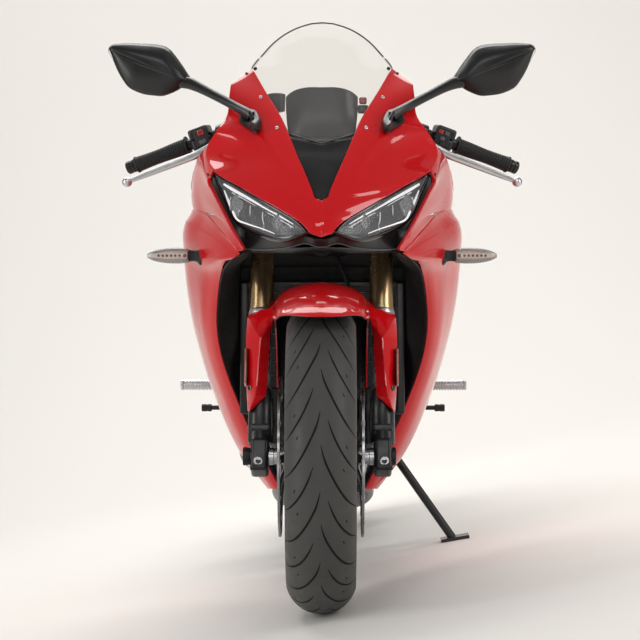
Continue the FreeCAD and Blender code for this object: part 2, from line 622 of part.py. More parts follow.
bars = []
for k, s in (("l", 1),):
    ring = rod("clip_" + k, 31.0, leg(682, s), leg(716, s))
    arm = rod("cliparm_" + k, 14.0, leg(699, s, -12, 10), bar_at(158, s))
    bar = rod("bar_" + k, P("bar_rad"), bar_at(146, s), bar_at(378, s))
    f = fuse("barset_" + k, ring, arm, bar)
    bars.append(cut("barcut_" + k, f, rod("clipbore_" + k, P("fork_tube_rad") + 0.06, leg(670, s), leg(730, s))))
bar_l = fuse("bar_left", bars[0], rod("bar_end", 13.0, bar_at(375, 1), bar_at(391.5, 1)))
node(both("clip_on_bars_pair", bar_l, mirror("bar_right", bar_l)), "clip_on_bars")
grips, sw, lev, per = [], [], [], []
for k, s in (("l", 1), ("r", -1)):
    a, b = bar_at(266, s), bar_at(372, s)
    g = fuse("grip_" + k, rod("gripb_" + k, P("grip_rad"), a, b), rod("gripf_" + k, 19.0, bar_at(263.5, s), bar_at(267, s)), rod("gripg_" + k, 16.5, bar_at(369, s), bar_at(373, s)))
    grips.append(cut("gripc_" + k, g, rod("griph_" + k, P("bar_rad") + 0.05, bar_at(255, s), bar_at(380, s))))
    d = bar_dir(s)
    rr = Rotation(Vector(0, 0, 1), d)
    mid = bar_at(238, s)
    up = Vector(0, 0, 1)
    zaxis = d
    xaxis = Vector(0, 1, 0)
    yaxis = zaxis.cross(xaxis).normalize()
    xaxis = yaxis.cross(zaxis).normalize()
    rr = Rotation(xaxis, yaxis, zaxis, "ZXY")
    h = box("sw_" + k, 40.0, 46.0, 44.0, mid + Vector(0, -3, 4), rr)
    sw.append(cut("swc_" + k, h, rod("swh_" + k, P("bar_rad") + 0.05, bar_at(200, s), bar_at(263, s))))
    # brake or clutch perch round the bar, then the lever in front of the grip
    pc = fuse("perch_" + k, rod("pr_" + k, 17.0, bar_at(188, s), bar_at(206, s)), box("pb_" + k, 22.0, 46.0, 20.0, bar_at(197, s) + Vector(0, -34, -6)), )
    per.append(cut("perchc_" + k, pc, rod("perchh_" + k, P("bar_rad") + 0.05, bar_at(180, s), bar_at(215, s))))
    w0 = Vector(s * 190, 243, 893)
    w1 = Vector(s * 243, 252, 866)
    w2 = Vector(s * 312, 258, 839)
    w3 = Vector(s * 380, 262, 813)

    def lw(c, dd, hy, hz):
        dd = Vector(dd).normalize()
        vv = Vector(0, 1, 0)
        uu = vv.cross(dd).normalize()
        return rect_wire(c, vv, uu, hy, hz)

    lv = Part.makeLoft([lw(w0, w1 - w0, 8, 9), lw(w1, w2 - w0, 6.5, 8), lw(w2, w3 - w1, 5, 6.5), lw(w3, w3 - w2, 3.6, 3.6)], True, True)
    lb = raw("leverb_" + k, lv)
    lev.append(fuse("lever_" + k, lb, ball("leverball_" + k, 10.0, w3 + Vector(s * 4.5, 0, -2))))
node(both("grips_pair", *grips), "handlebar_grips")
node(both("levers", *lev), "hand_levers")
per = [cut("perchl_" + k, q_, lev[i_]) for i_, (k, q_) in enumerate(zip("lr", per))]
node(both("bar_controls", *per, *sw), "handlebar_controls")
res = cut("reservoir_trim", fuse("reservoir", cyl("res_cup", 18.0, 34.0, Vector(-90, 262, 950), (0, 0.1, 1)), rod("res_arm", 5.0, Vector(-90, 262, 955), Vector(-100, 268, 932))), mirror("bar_tool", bar_l))
node(res, "brake_reservoir")

# front mudguard: an arch over the tyre with guards down the front of the legs
arch_o = [(-89, 252), (-88, 284), (-76, 303), (-46, 317), (0, 323), (46, 317), (76, 303), (88, 284), (89, 252)]
arch_i = [(85.5, 252), (84.5, 282), (74, 299.5), (45, 313.5), (0, 319.5), (-45, 313.5), (-74, 299.5), (-84.5, 282), (-85.5, 252)]
fb = new_body("mudguard_arch")
add_rev(fb, outline(fb, "XZ_Plane", arch_o + arch_i, name="ArchSketch"), angle=104.0)
fb.Placement = Placement(FAX, Rotation(Vector(1, 0, 0), -75.0))
gds = []
for k, s in (("l", 1), ("r", -1)):
    outer = [(-26, 14), (-26, -22), (-12, -36), (14, -34), (25, -20), (25, 14), (21.5, 14), (21.5, -18), (12.5, -30.5), (-11, -32.5), (-22.5, -20), (-22.5, 14)]
    outer = [(s * x, y) for x, y in outer]
    g = padded("guard_" + k, "XY_Plane", outer, 148.0, place=Placement(leg(208, s), FORK))
    link = box("guardlink_" + k, 10.0, 46.0, 44.0, leg(256, s, 0, -29.0), FORK)
    gds += [g, link]
node(fuse("mudguard", fb, *gds), "front_mudguard")

# orange reflectors outboard of the guards
rf = [box("refl_" + k, 5.0, 22.0, 76.0, leg(168, s, -6, 28.6), FORK) for k, s in (("l", 1), ("r", -1))]
node(both("reflectors", *rf), "front_reflectors")

# ================= frame and engine =================
hs = cut("headstock", rod("headstock_o", P("headstock_rad"), head(470), head(641)), rod("headstock_i", P("headstock_bore_rad"), head(460), head(650)))
spars = []
for k, s in (("l", 1), ("r", -1)):
    spars.append(beam("spar_" + k, [((s * 26, 268, 802), 14, 34), ((s * 95, 330, 786), 14, 46), ((s * 132, 480, 706), 13, 46), ((s * 140, 690, 590), 13, 40), ((s * 150, 830, 470), 9, 34), ((s * 150, 905, 385), 9, 46), ((s * 150, 895, 290), 9, 26)]))
pivot = rod("pivot_bolt", 9.0, (-159, 870, 400), (159, 870, 400))
cross = rod("frame_cross", 14.0, (-142, 850, 300), (142, 850, 300))
cross2 = rod("frame_cross2", 14.0, (-140, 838, 520), (140, 838, 520))
brk = beam("stand_mount", [((150, 900, 300), 7, 14), ((148, 820, 276), 7, 12), ((146, 776, 270), 7, 12)])
fr = fuse("frame_all", hs, spars[0], spars[1], cross, cross2, pivot, brk)
fr2 = cut("frame_bored", fr, rod("frame_bore", P("headstock_bore_rad"), head(455), head(655)))
node(fr2, "main_frame")
eng = fuse("engine_all", box("crankcase", P("engine_width"), 250.0, 190.0, (0, 600, 330)), box("cylinders", 236.0, 150.0, 200.0, (0, 520, 500), Rotation(Vector(1, 0, 0), 14)),
           box("gearbox", 168.0, 105.0, 150.0, (-0, 776, 350)), rod("output_shaft", 30.0, (80, 790, 400), (103, 790, 400)),
           rod("clutch_cover", 66.0, (-138, 660, 320), (-158, 660, 320)), rod("alternator_cover", 58.0, (138, 560, 320), (156, 560, 320)))
node(eng, "engine")
node(box("radiator_core", P("radiator_width"), P("radiator_depth"), P("radiator_height"), (0, 356, 482)), "radiator")
# exhaust
xs = (-96, -34, 34, 96)
pp = [raw("header_%d" % i, pipe([(x, 452, 500), (x, 404, 497), (x, 404, 330), (x * 0.75, 440, 215), (x * 0.6, 560, 172)], 17.0, [24, 90, 70])) for i, x in enumerate(xs)]
cbx = Part.makeBox(172, 240, 50, Vector(-86, 556, 146))
ch = raw("chamber", cbx.makeFillet(20, cbx.Edges))
tp = raw("tailpipe", pipe([(-56, 780, 170), (-58, 846, 172), (-168, 900, 214), (-192, 975, 330)], 20.0, [34, 34]))
sd = Vector(-3, 262, 70).normalize()


def ell(c, d, a, b):
    e = Part.Ellipse(Vector(0, 0, 0), b, a).toShape()
    w = Part.Wire([e])
    w.Placement = Placement(Vector(c), Rotation(Vector(0, 0, 1), d).multiply(Rotation(Vector(0, 0, 1), 90)))
    return w


s0 = Vector(-192, 962, 324)
sil = raw("silencer_can", Part.makeLoft([ell(s0 + sd * t, sd, a, b) for t, a, b in ((0, 24, 28), (22, 34, 41), (60, 37, 46), (110, 38, 49), (160, 39, 51), (215, 39, 53), (245, 37, 51), (262, 30, 44))], True, False))
exh = cut("exhaust_bored", fuse("exhaust_f", ch, *pp, sil, tp), rod("outlet", 18.0, s0 + sd * 200, s0 + sd * 270))
node(cut("exhaust_all", exh, eng), "exhaust")
# ================= swingarm, rear wheel =================
arms = [beam("arm_" + k, [((s * 125, 848, 402), 13, 34), ((s * 125, 1000, 378), 13, 36), ((s * 125, 1330, 318.3), 13, 26), ((s * 125, 1452, 296), 13, 24)]) for k, s in (("l", 1), ("r", -1))]
brace = box("arm_brace", 250.0, 96.0, 40.0, (0, 990, 372), Rotation(Vector(1, 0, 0), -9))
ptube = rod("arm_tube", 26.0, (-138, 870, 400), (138, 870, 400))
sa = fuse("arm_all", arms[0], arms[1], brace, ptube)
bores = fuse("arm_bores", rod("arm_pb", 9.05, (-160, 870, 400), (160, 870, 400)), rod("arm_ab", P("rear_axle_rad") + 0.05, (-160, 1400, 305.3), (160, 1400, 305.3)),
             rod("spool_l", P("spool_thread_rad"), (110, 1325, 322), (140, 1325, 322)), rod("spool_r", P("spool_thread_rad"), (-110, 1325, 322), (-140, 1325, 322)))
node(cut("swingarm_all", sa, bores), "swingarm")
ra = fuse("rear_axle_all", rod("ra_rod", P("rear_axle_rad"), (-146, 1400, 305.3), (146, 1400, 305.3)), rod("ra_head", 15.0, (138.2, 1400, 305.3), (149, 1400, 305.3)), rod("ra_nut", 15.0, (-138.2, 1400, 305.3), (-149, 1400, 305.3)),
          rod("ra_sp_l", 16.0, (104.4, 1400, 305.3), (111.8, 1400, 305.3)), rod("ra_sp_r", 16.0, (-104.4, 1400, 305.3), (-111.8, 1400, 305.3)))
node(ra, "rear_axle")
node(tyre("rear_tyre_body", "rear_tyre_rad", "rear_tyre_halfw", 63.8, 247.0, 8.0, 10.0, R_PL), "rear_tyre")


def rear_rim():
    b = new_body("rear_rim_body")
    w = P("rear_rim_halfw")
    f = P("rim_flange_rad")
    v = [(w, f), (w - 6, f), (w - 6, 217.0), (w - 34, 214.0), (w - 40, 203.0), (-(w - 40), 203.0), (-(w - 34), 214.0), (-(w - 6), 217.0), (-(w - 6), f), (-w, f),
         (-w, 212.0), (-(w - 28), 207.0), (-(w - 36), 197.0), (w - 36, 197.0), (w - 28, 207.0), (w, 212.0)]
    add_rev(b, outline(b, "XZ_Plane", v, name="BarrelSketch"), name="Barrel")
    spoke = [(-17, 20), (-17, 95), (-64, 190), (-50, 195.5), (-5, 120), (5, 120), (50, 195.5), (64, 190), (17, 95), (17, 20)]
    pad = add_pad(b, outline(b, "YZ_Plane", spoke, name="SpokeSketch"), 36.0, name="Spoke")
    polar(b, [pad], "X_Axis", 5)
    hubv = [(-82, 10.06), (92, 10.06), (92, P("rear_hub_rad")), (-82, P("rear_hub_rad"))]
    add_rev(b, outline(b, "XZ_Plane", hubv, name="HubSketch"), name="Hub")
    hole(b, "YZ_Plane", 0, 0, P("rear_axle_rad") + 0.06, 300.0, name="BoreSketch")
    b.Placement = R_PL
    return b


node(rear_rim(), "rear_rim")
rd = disc("rear_disc", "rear_disc_rad", 80.0, 4.6, -88.0, R_PL, None, 0, 34.0)
rh = cut("rear_hat", rod("rear_hat_o", 46.0, (-82.2, 1400, 305.3), (-85.7, 1400, 305.3)), rod("rear_hat_i", 34.0, (-82, 1400, 305.3), (-86, 1400, 305.3)))
node(fuse("rear_disc_all", rd, rh), "rear_brake_disc")
rs = disc("rear_sprocket_disc", "sprocket_rad", 70.0, P("sprocket_thick"), 98.0, R_PL, (48.0, 76.0), 5, 30.0)
rsh = cut("sprocket_hat", rod("sprk_o", 46.0, (92.2, 1400, 305.3), (95.0, 1400, 305.3)), rod("sprk_i", 30.0, (92, 1400, 305.3), (96, 1400, 305.3)))
node(fuse("sprocket_all", rs, rsh), "rear_sprocket")


def loop_face(c1, r1, c2, r2):
    """The outline round two circles in the side view."""
    dx, dz = c2[0] - c1[0], c2[1] - c1[1]
    d = math.hypot(dx, dz)
    base = math.atan2(dz, dx)
    off = math.acos((r1 - r2) / d)
    pts = []
    for sgn in (1, -1):
        a = base + sgn * off
        pts.append(((c1[0] + r1 * math.cos(a), c1[1] + r1 * math.sin(a)), (c2[0] + r2 * math.cos(a), c2[1] + r2 * math.sin(a))))
    (a1, a2), (b1, b2) = pts
    m2 = (c2[0] + r2 * math.cos(base), c2[1] + r2 * math.sin(base))
    m1 = (c1[0] - r1 * math.cos(base), c1[1] - r1 * math.sin(base))
    v = lambda p: Vector(0, p[0], p[1])
    w = Part.Wire([Part.LineSegment(v(a1), v(a2)).toShape(), Part.Arc(v(a2), v(m2), v(b2)).toShape(), Part.LineSegment(v(b2), v(b1)).toShape(), Part.Arc(v(b1), v(m1), v(a1)).toShape()])
    return Part.Face(w)


cw = VAL["chain_width"]
co = loop_face((790, 400), 44, (1400, 305.3), 106).extrude(Vector(cw, 0, 0))
ci = loop_face((790, 400), 31.5, (1400, 305.3), 93.6).extrude(Vector(cw + 2, 0, 0))
ci.translate(Vector(-1, 0, 0))
chain = co.cut(ci)
chain.translate(Vector(98 - cw / 2, 0, 0))
node(raw("chain_loop", chain), "drive_chain")
rc = cut("rear_cal_all", box("rear_cal", 40.0, 70.0, 56.0, (-88, 1298, 345), Rotation(Vector(1, 0, 0), 20)), cyl("rear_cal_slot", 114.0, 8.6, (-92.3, 1400, 305.3), (1, 0, 0)))
node(rc, "rear_caliper")
hb = new_body("hugger_arch")
ho = [(-88, 262), (-88, 296), (-66, 318), (0, 327), (66, 318), (88, 296), (88, 262), (84.5, 262), (84.5, 294), (64, 314.5), (0, 323.5), (-64, 314.5), (-84.5, 294), (-84.5, 262)]
add_rev(hb, outline(hb, "XZ_Plane", ho, name="HuggerSketch"), angle=88.0)
hb.Placement = Placement(RAX, Rotation(Vector(1, 0, 0), 0.0))
node(hb, "rear_hugger")
sh_up, sh_dn = Vector(0, 905, 673.5), Vector(0, 958, 398)
shd = (sh_dn - sh_up).normalize()
shock = cut("shock_trim", fuse("shock_all", rod("shock_spring", P("spring_rad"), sh_up + shd * 40, sh_up + shd * 205), rod("shock_rod", 12.0, sh_up, sh_dn)), sa)
node(shock, "rear_shock")
rails = [beam("rail_" + k, [((s * 118, 700, 640), 9, 16), ((s * 100, 860, 690), 9, 14), ((s * 78, 1200, 740), 8, 13), ((s * 55, 1480, 815), 7, 10)]) for k, s in (("l", 1), ("r", -1))]
braces = [beam("rbrace_" + k, [((s * 143, 850, 500), 6, 12), ((s * 80, 1186, 734), 6, 9)]) for k, s in (("l", 1), ("r", -1))]
xr = rod("rail_cross", 9.0, (-84, 1100, 724), (84, 1100, 724))
xr2 = rod("rail_cross2", 12.0, (-100, 905, 686), (100, 905, 686))
sub_all = cut("subframe_trim", fuse("subframe_all", *rails, *braces, xr, xr2, rod("rail_cross3", 8.0, (-60, 1440, 800), (60, 1440, 800))), fr2)
node(sub_all, "subframe")

# ================= tank, seat, tail =================
tank_sec = [
    (392, [(0, 790), (40, 789), (62, 800), (66, 820), (50, 838), (25, 846), (0, 848)]),
    (440, [(0, 762), (66, 762), (96, 784), (118, 816), (104, 848), (56, 867), (0, 871)]),
    (520, [(0, 758), (90, 750), (134, 762), (152, 802), (134, 852), (70, 880), (0, 886)]),
    (610, [(0, 742), (92, 724), (144, 738), (158, 784), (138, 844), (74, 876), (0, 883)]),
    (700, [(0, 722), (84, 702), (124, 716), (136, 762), (116, 818), (64, 852), (0, 860)]),
    (780, [(0, 704), (70, 690), (96, 704), (104, 744), (90, 786), (52, 812), (0, 820)]),
    (836, [(0, 700), (56, 694), (78, 704), (82, 734), (72, 762), (42, 778), (0, 783)]),
]
tk = Part.makeLoft([ring_wire(y, p) for y, p in tank_sec], True, False)
tank = raw("tank_solid", tk)
FIL = Vector(0, 560, 884)
tank_b = cut("tank_all", cut("tank_flat", tank, cyl("filler_seat", 62.0, 40.0, Vector(0, 560, 876.0))), cyl("filler_hole", P("filler_bore_rad"), P("filler_depth"), Vector(0, 560, 876.0 - 45.0)))
ringo = cut("filler_ring_c", cyl("filler_ring_o", 60.0, 10.0, Vector(0, 560, 875.5)), cyl("filler_ring_i", P("lid_rad") + 5.2, 14.0, Vector(0, 560, 875.0)))
ear = [box("lid_ear_%d" % i, 7.0, 14.0, 16.0, Vector(x, 508.5, 885)) for i, x in enumerate((-17, 17))]
fring = cut("filler_ring_b", fuse("filler_ring_f", ringo, *ear), fuse("hinge_cut", rod("lid_pin_hole", 2.55, (-30, 507, 888), (30, 507, 888)), box("hinge_gap", 27.0, 30.0, 30.0, (0, 507, 891.2))))
fring2 = cut("filler_ring_d", fring, cyl("ring_floor", P("lid_rad") + 5.2, 30.0, Vector(0, 560, 876.0)))
node(cut("tank_less_frame", fuse("tank_and_ring", tank_b, fring2), fr2), "fuel_tank")
lid = fuse("lid_all", cyl("lid_disc", P("lid_rad"), P("lid_thick"), Vector(0, 560, 876.8)), box("lid_arm", 24.0, 48.0, 4.6, Vector(0, 530, 887.6)), rod("lid_barrel", 5.0, (-12.0, 507, 888), (12.0, 507, 888)), rod("lid_pin", 2.5, (-20.4, 507, 888), (20.4, 507, 888)))
node(lid, "fuel_lid")

seat_sec = [
    (848, [(0, 742), (60, 740), (80, 748), (84, 760), (74, 774), (40, 783), (0, 786)]),
    (930, [(0, 744), (90, 740), (116, 750), (120, 762), (108, 776), (60, 785), (0, 787)]),
    (1030, [(0, 752), (110, 748), (140, 756), (145, 768), (130, 784), (74, 793), (0, 795)]),
    (1110, [(0, 760), (108, 758), (134, 768), (138, 784), (122, 806), (70, 818), (0, 822)]),
    (1150, [(0, 778), (98, 776), (118, 788), (122, 806), (108, 832), (64, 846), (0, 850)]),
]
seat_solid = Part.makeLoft([ring_wire(y, p) for y, p in seat_sec], True, False)
node(raw("rider_seat_solid", seat_solid), "rider_seat")
pill_sec = [
    (1154, [(0, 806), (70, 804), (92, 814), (96, 830), (84, 850), (50, 862), (0, 866)]),
    (1230, [(0, 822), (72, 820), (98, 830), (102, 848), (88, 868), (52, 880), (0, 884)]),
    (1330, [(0, 842), (64, 841), (86, 850), (89, 866), (76, 884), (44, 895), (0, 898)]),
    (1430, [(0, 862), (46, 861), (62, 868), (64, 880), (54, 893), (32, 901), (0, 904)]),
]
pill_solid = Part.makeLoft([ring_wire(y, p) for y, p in pill_sec], True, False)
node(raw("pillion_seat_solid", pill_solid), "pillion_seat")
tail_sec = [
    (985, [(0, 724), (100, 722), (138, 730), (150, 744), (136, 762), (80, 772), (0, 775)]),
    (1080, [(0, 746), (98, 744), (134, 752), (148, 775), (138, 802), (80, 816), (0, 820)]),
    (1200, [(0, 768), (88, 766), (118, 776), (132, 806), (122, 838), (72, 856), (0, 862)]),
    (1350, [(0, 796), (66, 796), (92, 806), (102, 832), (92, 866), (54, 884), (0, 890)]),
    (1480, [(0, 826), (46, 826), (66, 836), (72, 858), (64, 888), (38, 902), (0, 906)]),
    (1600, [(0, 856), (28, 857), (42, 864), (46, 878), (40, 894), (24, 902), (0, 904)]),
    (1640, [(0, 868), (20, 868), (30, 873), (33, 881), (28, 890), (16, 895), (0, 896)]),
]
tail_solid = Part.makeLoft([ring_wire(y, p) for y, p in tail_sec], True, False)
tail_cut = tail_solid.cut(seat_solid.copy()).cut(pill_solid.copy())
tail_cut = tail_cut.cut(Part.makeBox(200, 900, 46, Vector(-100, 700, 700)).rotate(Vector(0, 1080, 730), Vector(1, 0, 0), 8.5))
tail_cut = tail_cut.cut(Part.makeBox(240, 200, 80, Vector(-120, 1400, 782)).rotate(Vector(0, 1480, 822), Vector(1, 0, 0), 14.5))
best = max(tail_cut.Solids, key=lambda s_: s_.Volume)
node(raw("tail_solid_f", Part.Compound([s_ for s_ in tail_cut.Solids if s_.Volume > 0.08 * best.Volume])), "tail_fairing")
tl = Part.makeLoft([ring_wire(1640.4, [(0, 866), (20, 866), (31, 872), (34, 881), (29, 891), (16, 896), (0, 897)]), ring_wire(1656, [(0, 870), (18, 870), (28, 874), (30, 881), (26, 888), (15, 892), (0, 893)])], True, False)
node(raw("tail_lamp_solid", tl), "tail_lamp")
hang = beam("hanger", [((0, 1450, 806), 40, 10), ((0, 1540, 780), 34, 9), ((0, 1640, 690), 30, 8), ((0, 1700, 600), 60, 6)])
plb = box("plate_back", 150.0, 5.0, 120.0, (0, 1702, 590), Rotation(Vector(1, 0, 0), 30))
nrm = Rotation(Vector(1, 0, 0), 30).multVec(Vector(0, 1, 0))
pc = Vector(0, 1702, 590) + Rotation(Vector(1, 0, 0), 30).multVec(Vector(0, 0, 38))
ph = [cyl("plate_hole_%d" % i, P("plate_hole_rad"), 40.0, pc + Vector(x, 0, 0) - nrm * 20, nrm) for i, x in enumerate((-65, 65))]
hanger_all = cut("hanger_all", fuse("hanger_f", hang, plb), fuse("plate_holes", *ph))
node(cut("hanger_trim", hanger_all, sub_all), "plate_hanger")
ri = []
for k, s in (("l", 1), ("r", -1)):
    ri.append(fuse("rind_" + k, rod("rst_" + k, 6.0, (s * 29, 1612, 716), (s * 66, 1622, 716)), raw("rlb_" + k, Part.makeLoft([ell(Vector(s * 62, 1621, 716), Vector(s, 0.1, 0), 10, 13), ell(Vector(s * 100, 1624, 716), Vector(s, 0.1, 0), 9, 16), ell(Vector(s * 146, 1629, 716), Vector(s, 0.1, 0), 3, 6)], True, False))))
ri = [cut("rindc_" + k, q_, hanger_all) for k, q_ in zip("lr", ri)]

# ================= nose =================
left_strips = strips_of(COWL_GRID, (0, 5.0, -2.4))
right_strips = [k_.mirror(Vector(0, 0, 0), Vector(1, 0, 0)) for k_ in left_strips]
cowl = left_strips[0].multiFuse(left_strips[1:] + right_strips).Solids[0]
node(raw("cowl_solid", cowl), "front_cowl")
screen = skin([[(x, y + 6.5, z) for x, y, z in r] for r in full_grid(SCREEN_GRID)], (0, 3.0, -1.4))
screen = biggest(screen.cut(cowl))
node(raw("screen_solid", screen), "windscreen")
VP = [[(x, y + 6.0, z) for x, y, z in span(a, b, 5, 1.6)] for a, b in VPANEL]
vpan = biggest(skin(full_grid(VP), (0, 3.0, -1.2)).cut(cowl))
lamp = skin([[(x, y + 1.0, z) for x, y, z in r] for r in LAMP_GRID], (-2.0, 42.0, 0.0), True)
lamp = biggest(lamp.cut(cowl))
node(raw("lamp_pair", pair(lamp)), "headlamps")
chinbar = biggest(skin(CHINBAR_GRID, (0, 10.0, 0)).cut(lamp))
node(raw("nose_trim_solids", Part.Compound([vpan] + pair(chinbar).Solids)), "nose_trim")
cheek = biggest(skin(CHEEK_GRID, (-4.0, 1.5, -1.0), True).cut(cowl))
ctip = biggest(skin([[(x, y, z - 0.5) for x, y, z in r] for r in CHIN_GRID], (-3.0, 3.0, 0.0)).cut(cheek).cut(lamp).cut(chinbar))
node(raw("cheek_pair", Part.Compound(pair(cheek).Solids + pair(ctip).Solids)), "upper_side_panels")
main_l = skin(MAIN_GRID, (-4.0, 1.5, 0.5))
node(raw("fairing_left", main_l), "side_fairing_left")
node(raw("fairing_right", main_l.mirror(Vector(0, 0, 0), Vector(1, 0, 0))), "side_fairing_right")
# belly pan: a trough between the lower edges
bel_rows = []
for (y, hw, zt, zb) in ((455, 80, 186, 176), (500, 92, 182, 156), (560, 104, 178, 138), (640, 108, 174, 130), (705, 106, 170, 130)):
    bel_rows.append([(0, y, zb), (hw * 0.45, y, zb), (hw * 0.8, y, zb + 8), (hw * 0.97, y, mix(zb, zt, 0.55)), (hw, y, zt)])
belly = skin(full_grid(bel_rows), (0, 0, 4.0))
node(raw("belly_solid", belly), "belly_pan")

# instrument pod, its hood and the stay that carries the cowl
hood = padded("dash_hood", "YZ_Plane", [(146, 904), (150, 936), (176, 984), (206, 976), (200, 940), (194, 904)], 128.0)
node(hood, "instrument_cluster")
stay = fuse("nose_stay", box("stay_mid", 56.0, 60.0, 20.0, (0, 170, 893.9)), rod("stay_cross", 7.0, (-150, 160, 893), (150, 160, 893)), rod("stay_l", 8.0, (30, 178, 890), (30, 240, 792)), rod("stay_r", 8.0, (-30, 178, 890), (-30, 240, 792)))
node(cut("stay_trim", cut("stay_trim2", stay, fr2), hood), "cowl_stay")

# mirrors
glass, shells = [], []
for k, s in (("l", 1), ("r", -1)):
    c = Vector(s * 333, 152, 1024)
    ax = Vector(s * 0.90, 0.12, 0.42).normalize()
    def mw(p, a, b):
        e = Part.Ellipse(Vector(0, 0, 0), a, b).toShape()
        w = Part.Wire([e])
        zz = ax
        xx = Vector(0, 0, 1) - zz * zz.z
        xx.normalize()
        yy = zz.cross(xx)
        w.Placement = Placement(p, Rotation(xx, yy, zz, "ZXY"))
        return w
    body_ = Part.makeLoft([mw(c - ax * 74, 14, 12), mw(c - ax * 46, 36, 26), mw(c + ax * 6, 46, 30), mw(c + ax * 52, 38, 24), mw(c + ax * 78, 17, 11)], True, False)
    cutter = Part.makeBox(400, 80, 260, Vector(-200, 0, -130))
    rr_ = Rotation(Vector(0, 0, 1), -s * 8)
    cutter.Placement = Placement(c + Vector(0, 6, 0), rr_)
    front = body_.cut(cutter)
    gb = Part.makeBox(400, 3.0, 260, Vector(-200, 0.2, -130))
    gb.Placement = Placement(c + rr_.multVec(Vector(0, 6.2, 0)), rr_)
    g3 = body_.common(gb)
    st = Part.makeLoft([rect_wire(Vector(s * 262, 146, 998), Vector(0, 1, 0), Vector(0, 0, 1), 11, 11), rect_wire(Vector(s * 203, 128, 955), Vector(0, 1, 0), Vector(0, 0, 1), 11, 8), rect_wire(Vector(s * 137, 100, 920), Vector(0, 1, 0), Vector(0, 0, 1), 20, 17)], True, False)
    front_f = biggest(front.fuse(st).cut(g3).cut(cowl))
    shells.append(front_f)
    glass.append(g3)
node(raw("mirror_shell_pair", Part.Compound(shells)), "mirrors")
node(raw("mirror_glasses", Part.Compound(glass)), "mirror_glass")

# turn signals: the front ones on the fairing's flanks, the rear ones on the plate hanger
fi = []
for k, s in (("l", 1), ("r", -1)):
    d_ = Vector(s, 0.0, 0.0)
    fi.append(Part.makeLoft([ell(Vector(s * 232, 214, 661), d_, 12, 17), ell(Vector(s * 246, 210, 661.5), d_, 10, 14), ell(Vector(s * 262, 208, 662), d_, 13, 20), ell(Vector(s * 300, 208, 662), d_, 13, 22), ell(Vector(s * 334, 211, 662.5), d_, 7, 14), ell(Vector(s * 341, 212, 662.5), d_, 2.5, 5)], True, False))
fair_r = main_l.mirror(Vector(0, 0, 0), Vector(1, 0, 0))
fi = [raw("find_l", biggest(fi[0].cut(main_l))), raw("find_r", biggest(fi[1].cut(fair_r)))]
node(both("turn_signal_set", *fi, *ri), "turn_signals")

# footrests
fp_, ct = [], []
for k, s in (("l", 1), ("r", -1)):
    plate = box("hanger_" + k, 8.0, 96.0, 120.0, (s * 163.2, 900, 402), Rotation(Vector(1, 0, 0), 12))
    peg = cone("peg_" + k, 10.0, 12.5, (s * 160, 868, 384), (s * 322, 862, 385))
    fp_.append(fuse("rest_" + k, plate, peg))
    arm = fuse("ctlf_" + k, box("ctla_" + k, 7.0, 150.0, 14.0, (s * 178, 800, 358), Rotation(Vector(1, 0, 0), 12)), rod("ctlp_" + k, 5.0, (s * 176, 728, 341), (s * 250, 728, 340)), rod("ctlk_" + k, 8.0, (s * 244, 728, 340), (s * 266, 728, 340)), rod("ctlb_" + k, 11.0, (s * 167.4, 872, 373), (s * 182, 872, 373)))
    ct.append(arm)
ct = [cut("ctlt_" + k, q_, fp_[i_]) for i_, (k, q_) in enumerate(zip("lr", ct))]
node(both("controls", *ct), "foot_controls")
pp_ = []
for k, s in (("l", 1), ("r", -1)):
    prail = beam("prail_" + k, [((s * 112, 1020, 700), 5, 12), ((s * 140, 1040, 620), 5, 12), ((s * 152, 1052, 500), 5, 16)])
    pp_.append(fuse("prest_" + k, prail, cone("ppeg_" + k, 9.0, 11.5, (s * 150, 1050, 497), (s * 232, 1064, 497))))
pp_ = [cut("prestc_" + k, q_, sub_all) for k, q_ in zip("lr", pp_)]
node(both("rests", *fp_, *pp_), "footrests")

# side stand, folded out on the left
SP = Vector(152, 772, 240)
SF = Vector(284, 742, 54)
SA = Vector(0.81, -0.02, 0.58).normalize()
sdir = (SF - SP).normalize()
clev = cut("stand_eye", fuse("stand_eye_f", cyl("stand_ring", 13.0, 12.0, SP - SA * 6, SA), rod("stand_leg", P("stand_leg_rad"), SP + sdir * 9, SF)), cyl("stand_hole", 6.05, 30.0, SP - SA * 15, SA))
shoe = box("stand_shoe", 62.0, 44.0, 7.0, Vector(289.4, 742, 53.6), Rotation(Vector(0, 1, 0), -10))
node(fuse("stand_all", clev, shoe), "side_stand")

LEAN = Placement(Vector(-165.3, -722.1, 0.98), Rotation(Vector(0, 1, 0), 10.0))
doc.recompute()
# a piece that another one is trimmed by keeps its upright shape, and a copy of it is leaned
NODES = [(both("set_" + label, obj) if obj.InList else obj, label) for obj, label in NODES]
for obj, label in NODES:
    obj.Label = label
    obj.Placement = LEAN.multiply(obj.Placement)
doc.recompute()
lo, hi = [1e9] * 3, [-1e9] * 3
for obj, label in NODES:
    b_ = obj.Shape.BoundBox
    for i, (u_, v_) in enumerate(((b_.XMin, b_.XMax), (b_.YMin, b_.YMax), (b_.ZMin, b_.ZMax))):
        lo[i], hi[i] = min(lo[i], u_), max(hi[i], v_)
print("bounds", [round(q, 2) for q in lo], [round(q, 2) for q in hi])
bad = []
for obj in doc.Objects:
    if any(w in obj.State for w in ("Invalid", "Error")):
        bad.append((obj.Name, obj.State))
os.makedirs("parts", exist_ok=True)
for obj, label in NODES:
    sh_ = obj.Shape
    if sh_.isNull() or not sh_.isValid() or sh_.Volume < 10:
        bad.append((label, "null" if sh_.isNull() else ("invalid %.0f" % sh_.Volume)))
print("nodes", len(NODES), "bad", bad)
for obj, label in NODES:
    obj.Shape.exportStep("parts/%s.step" % label)
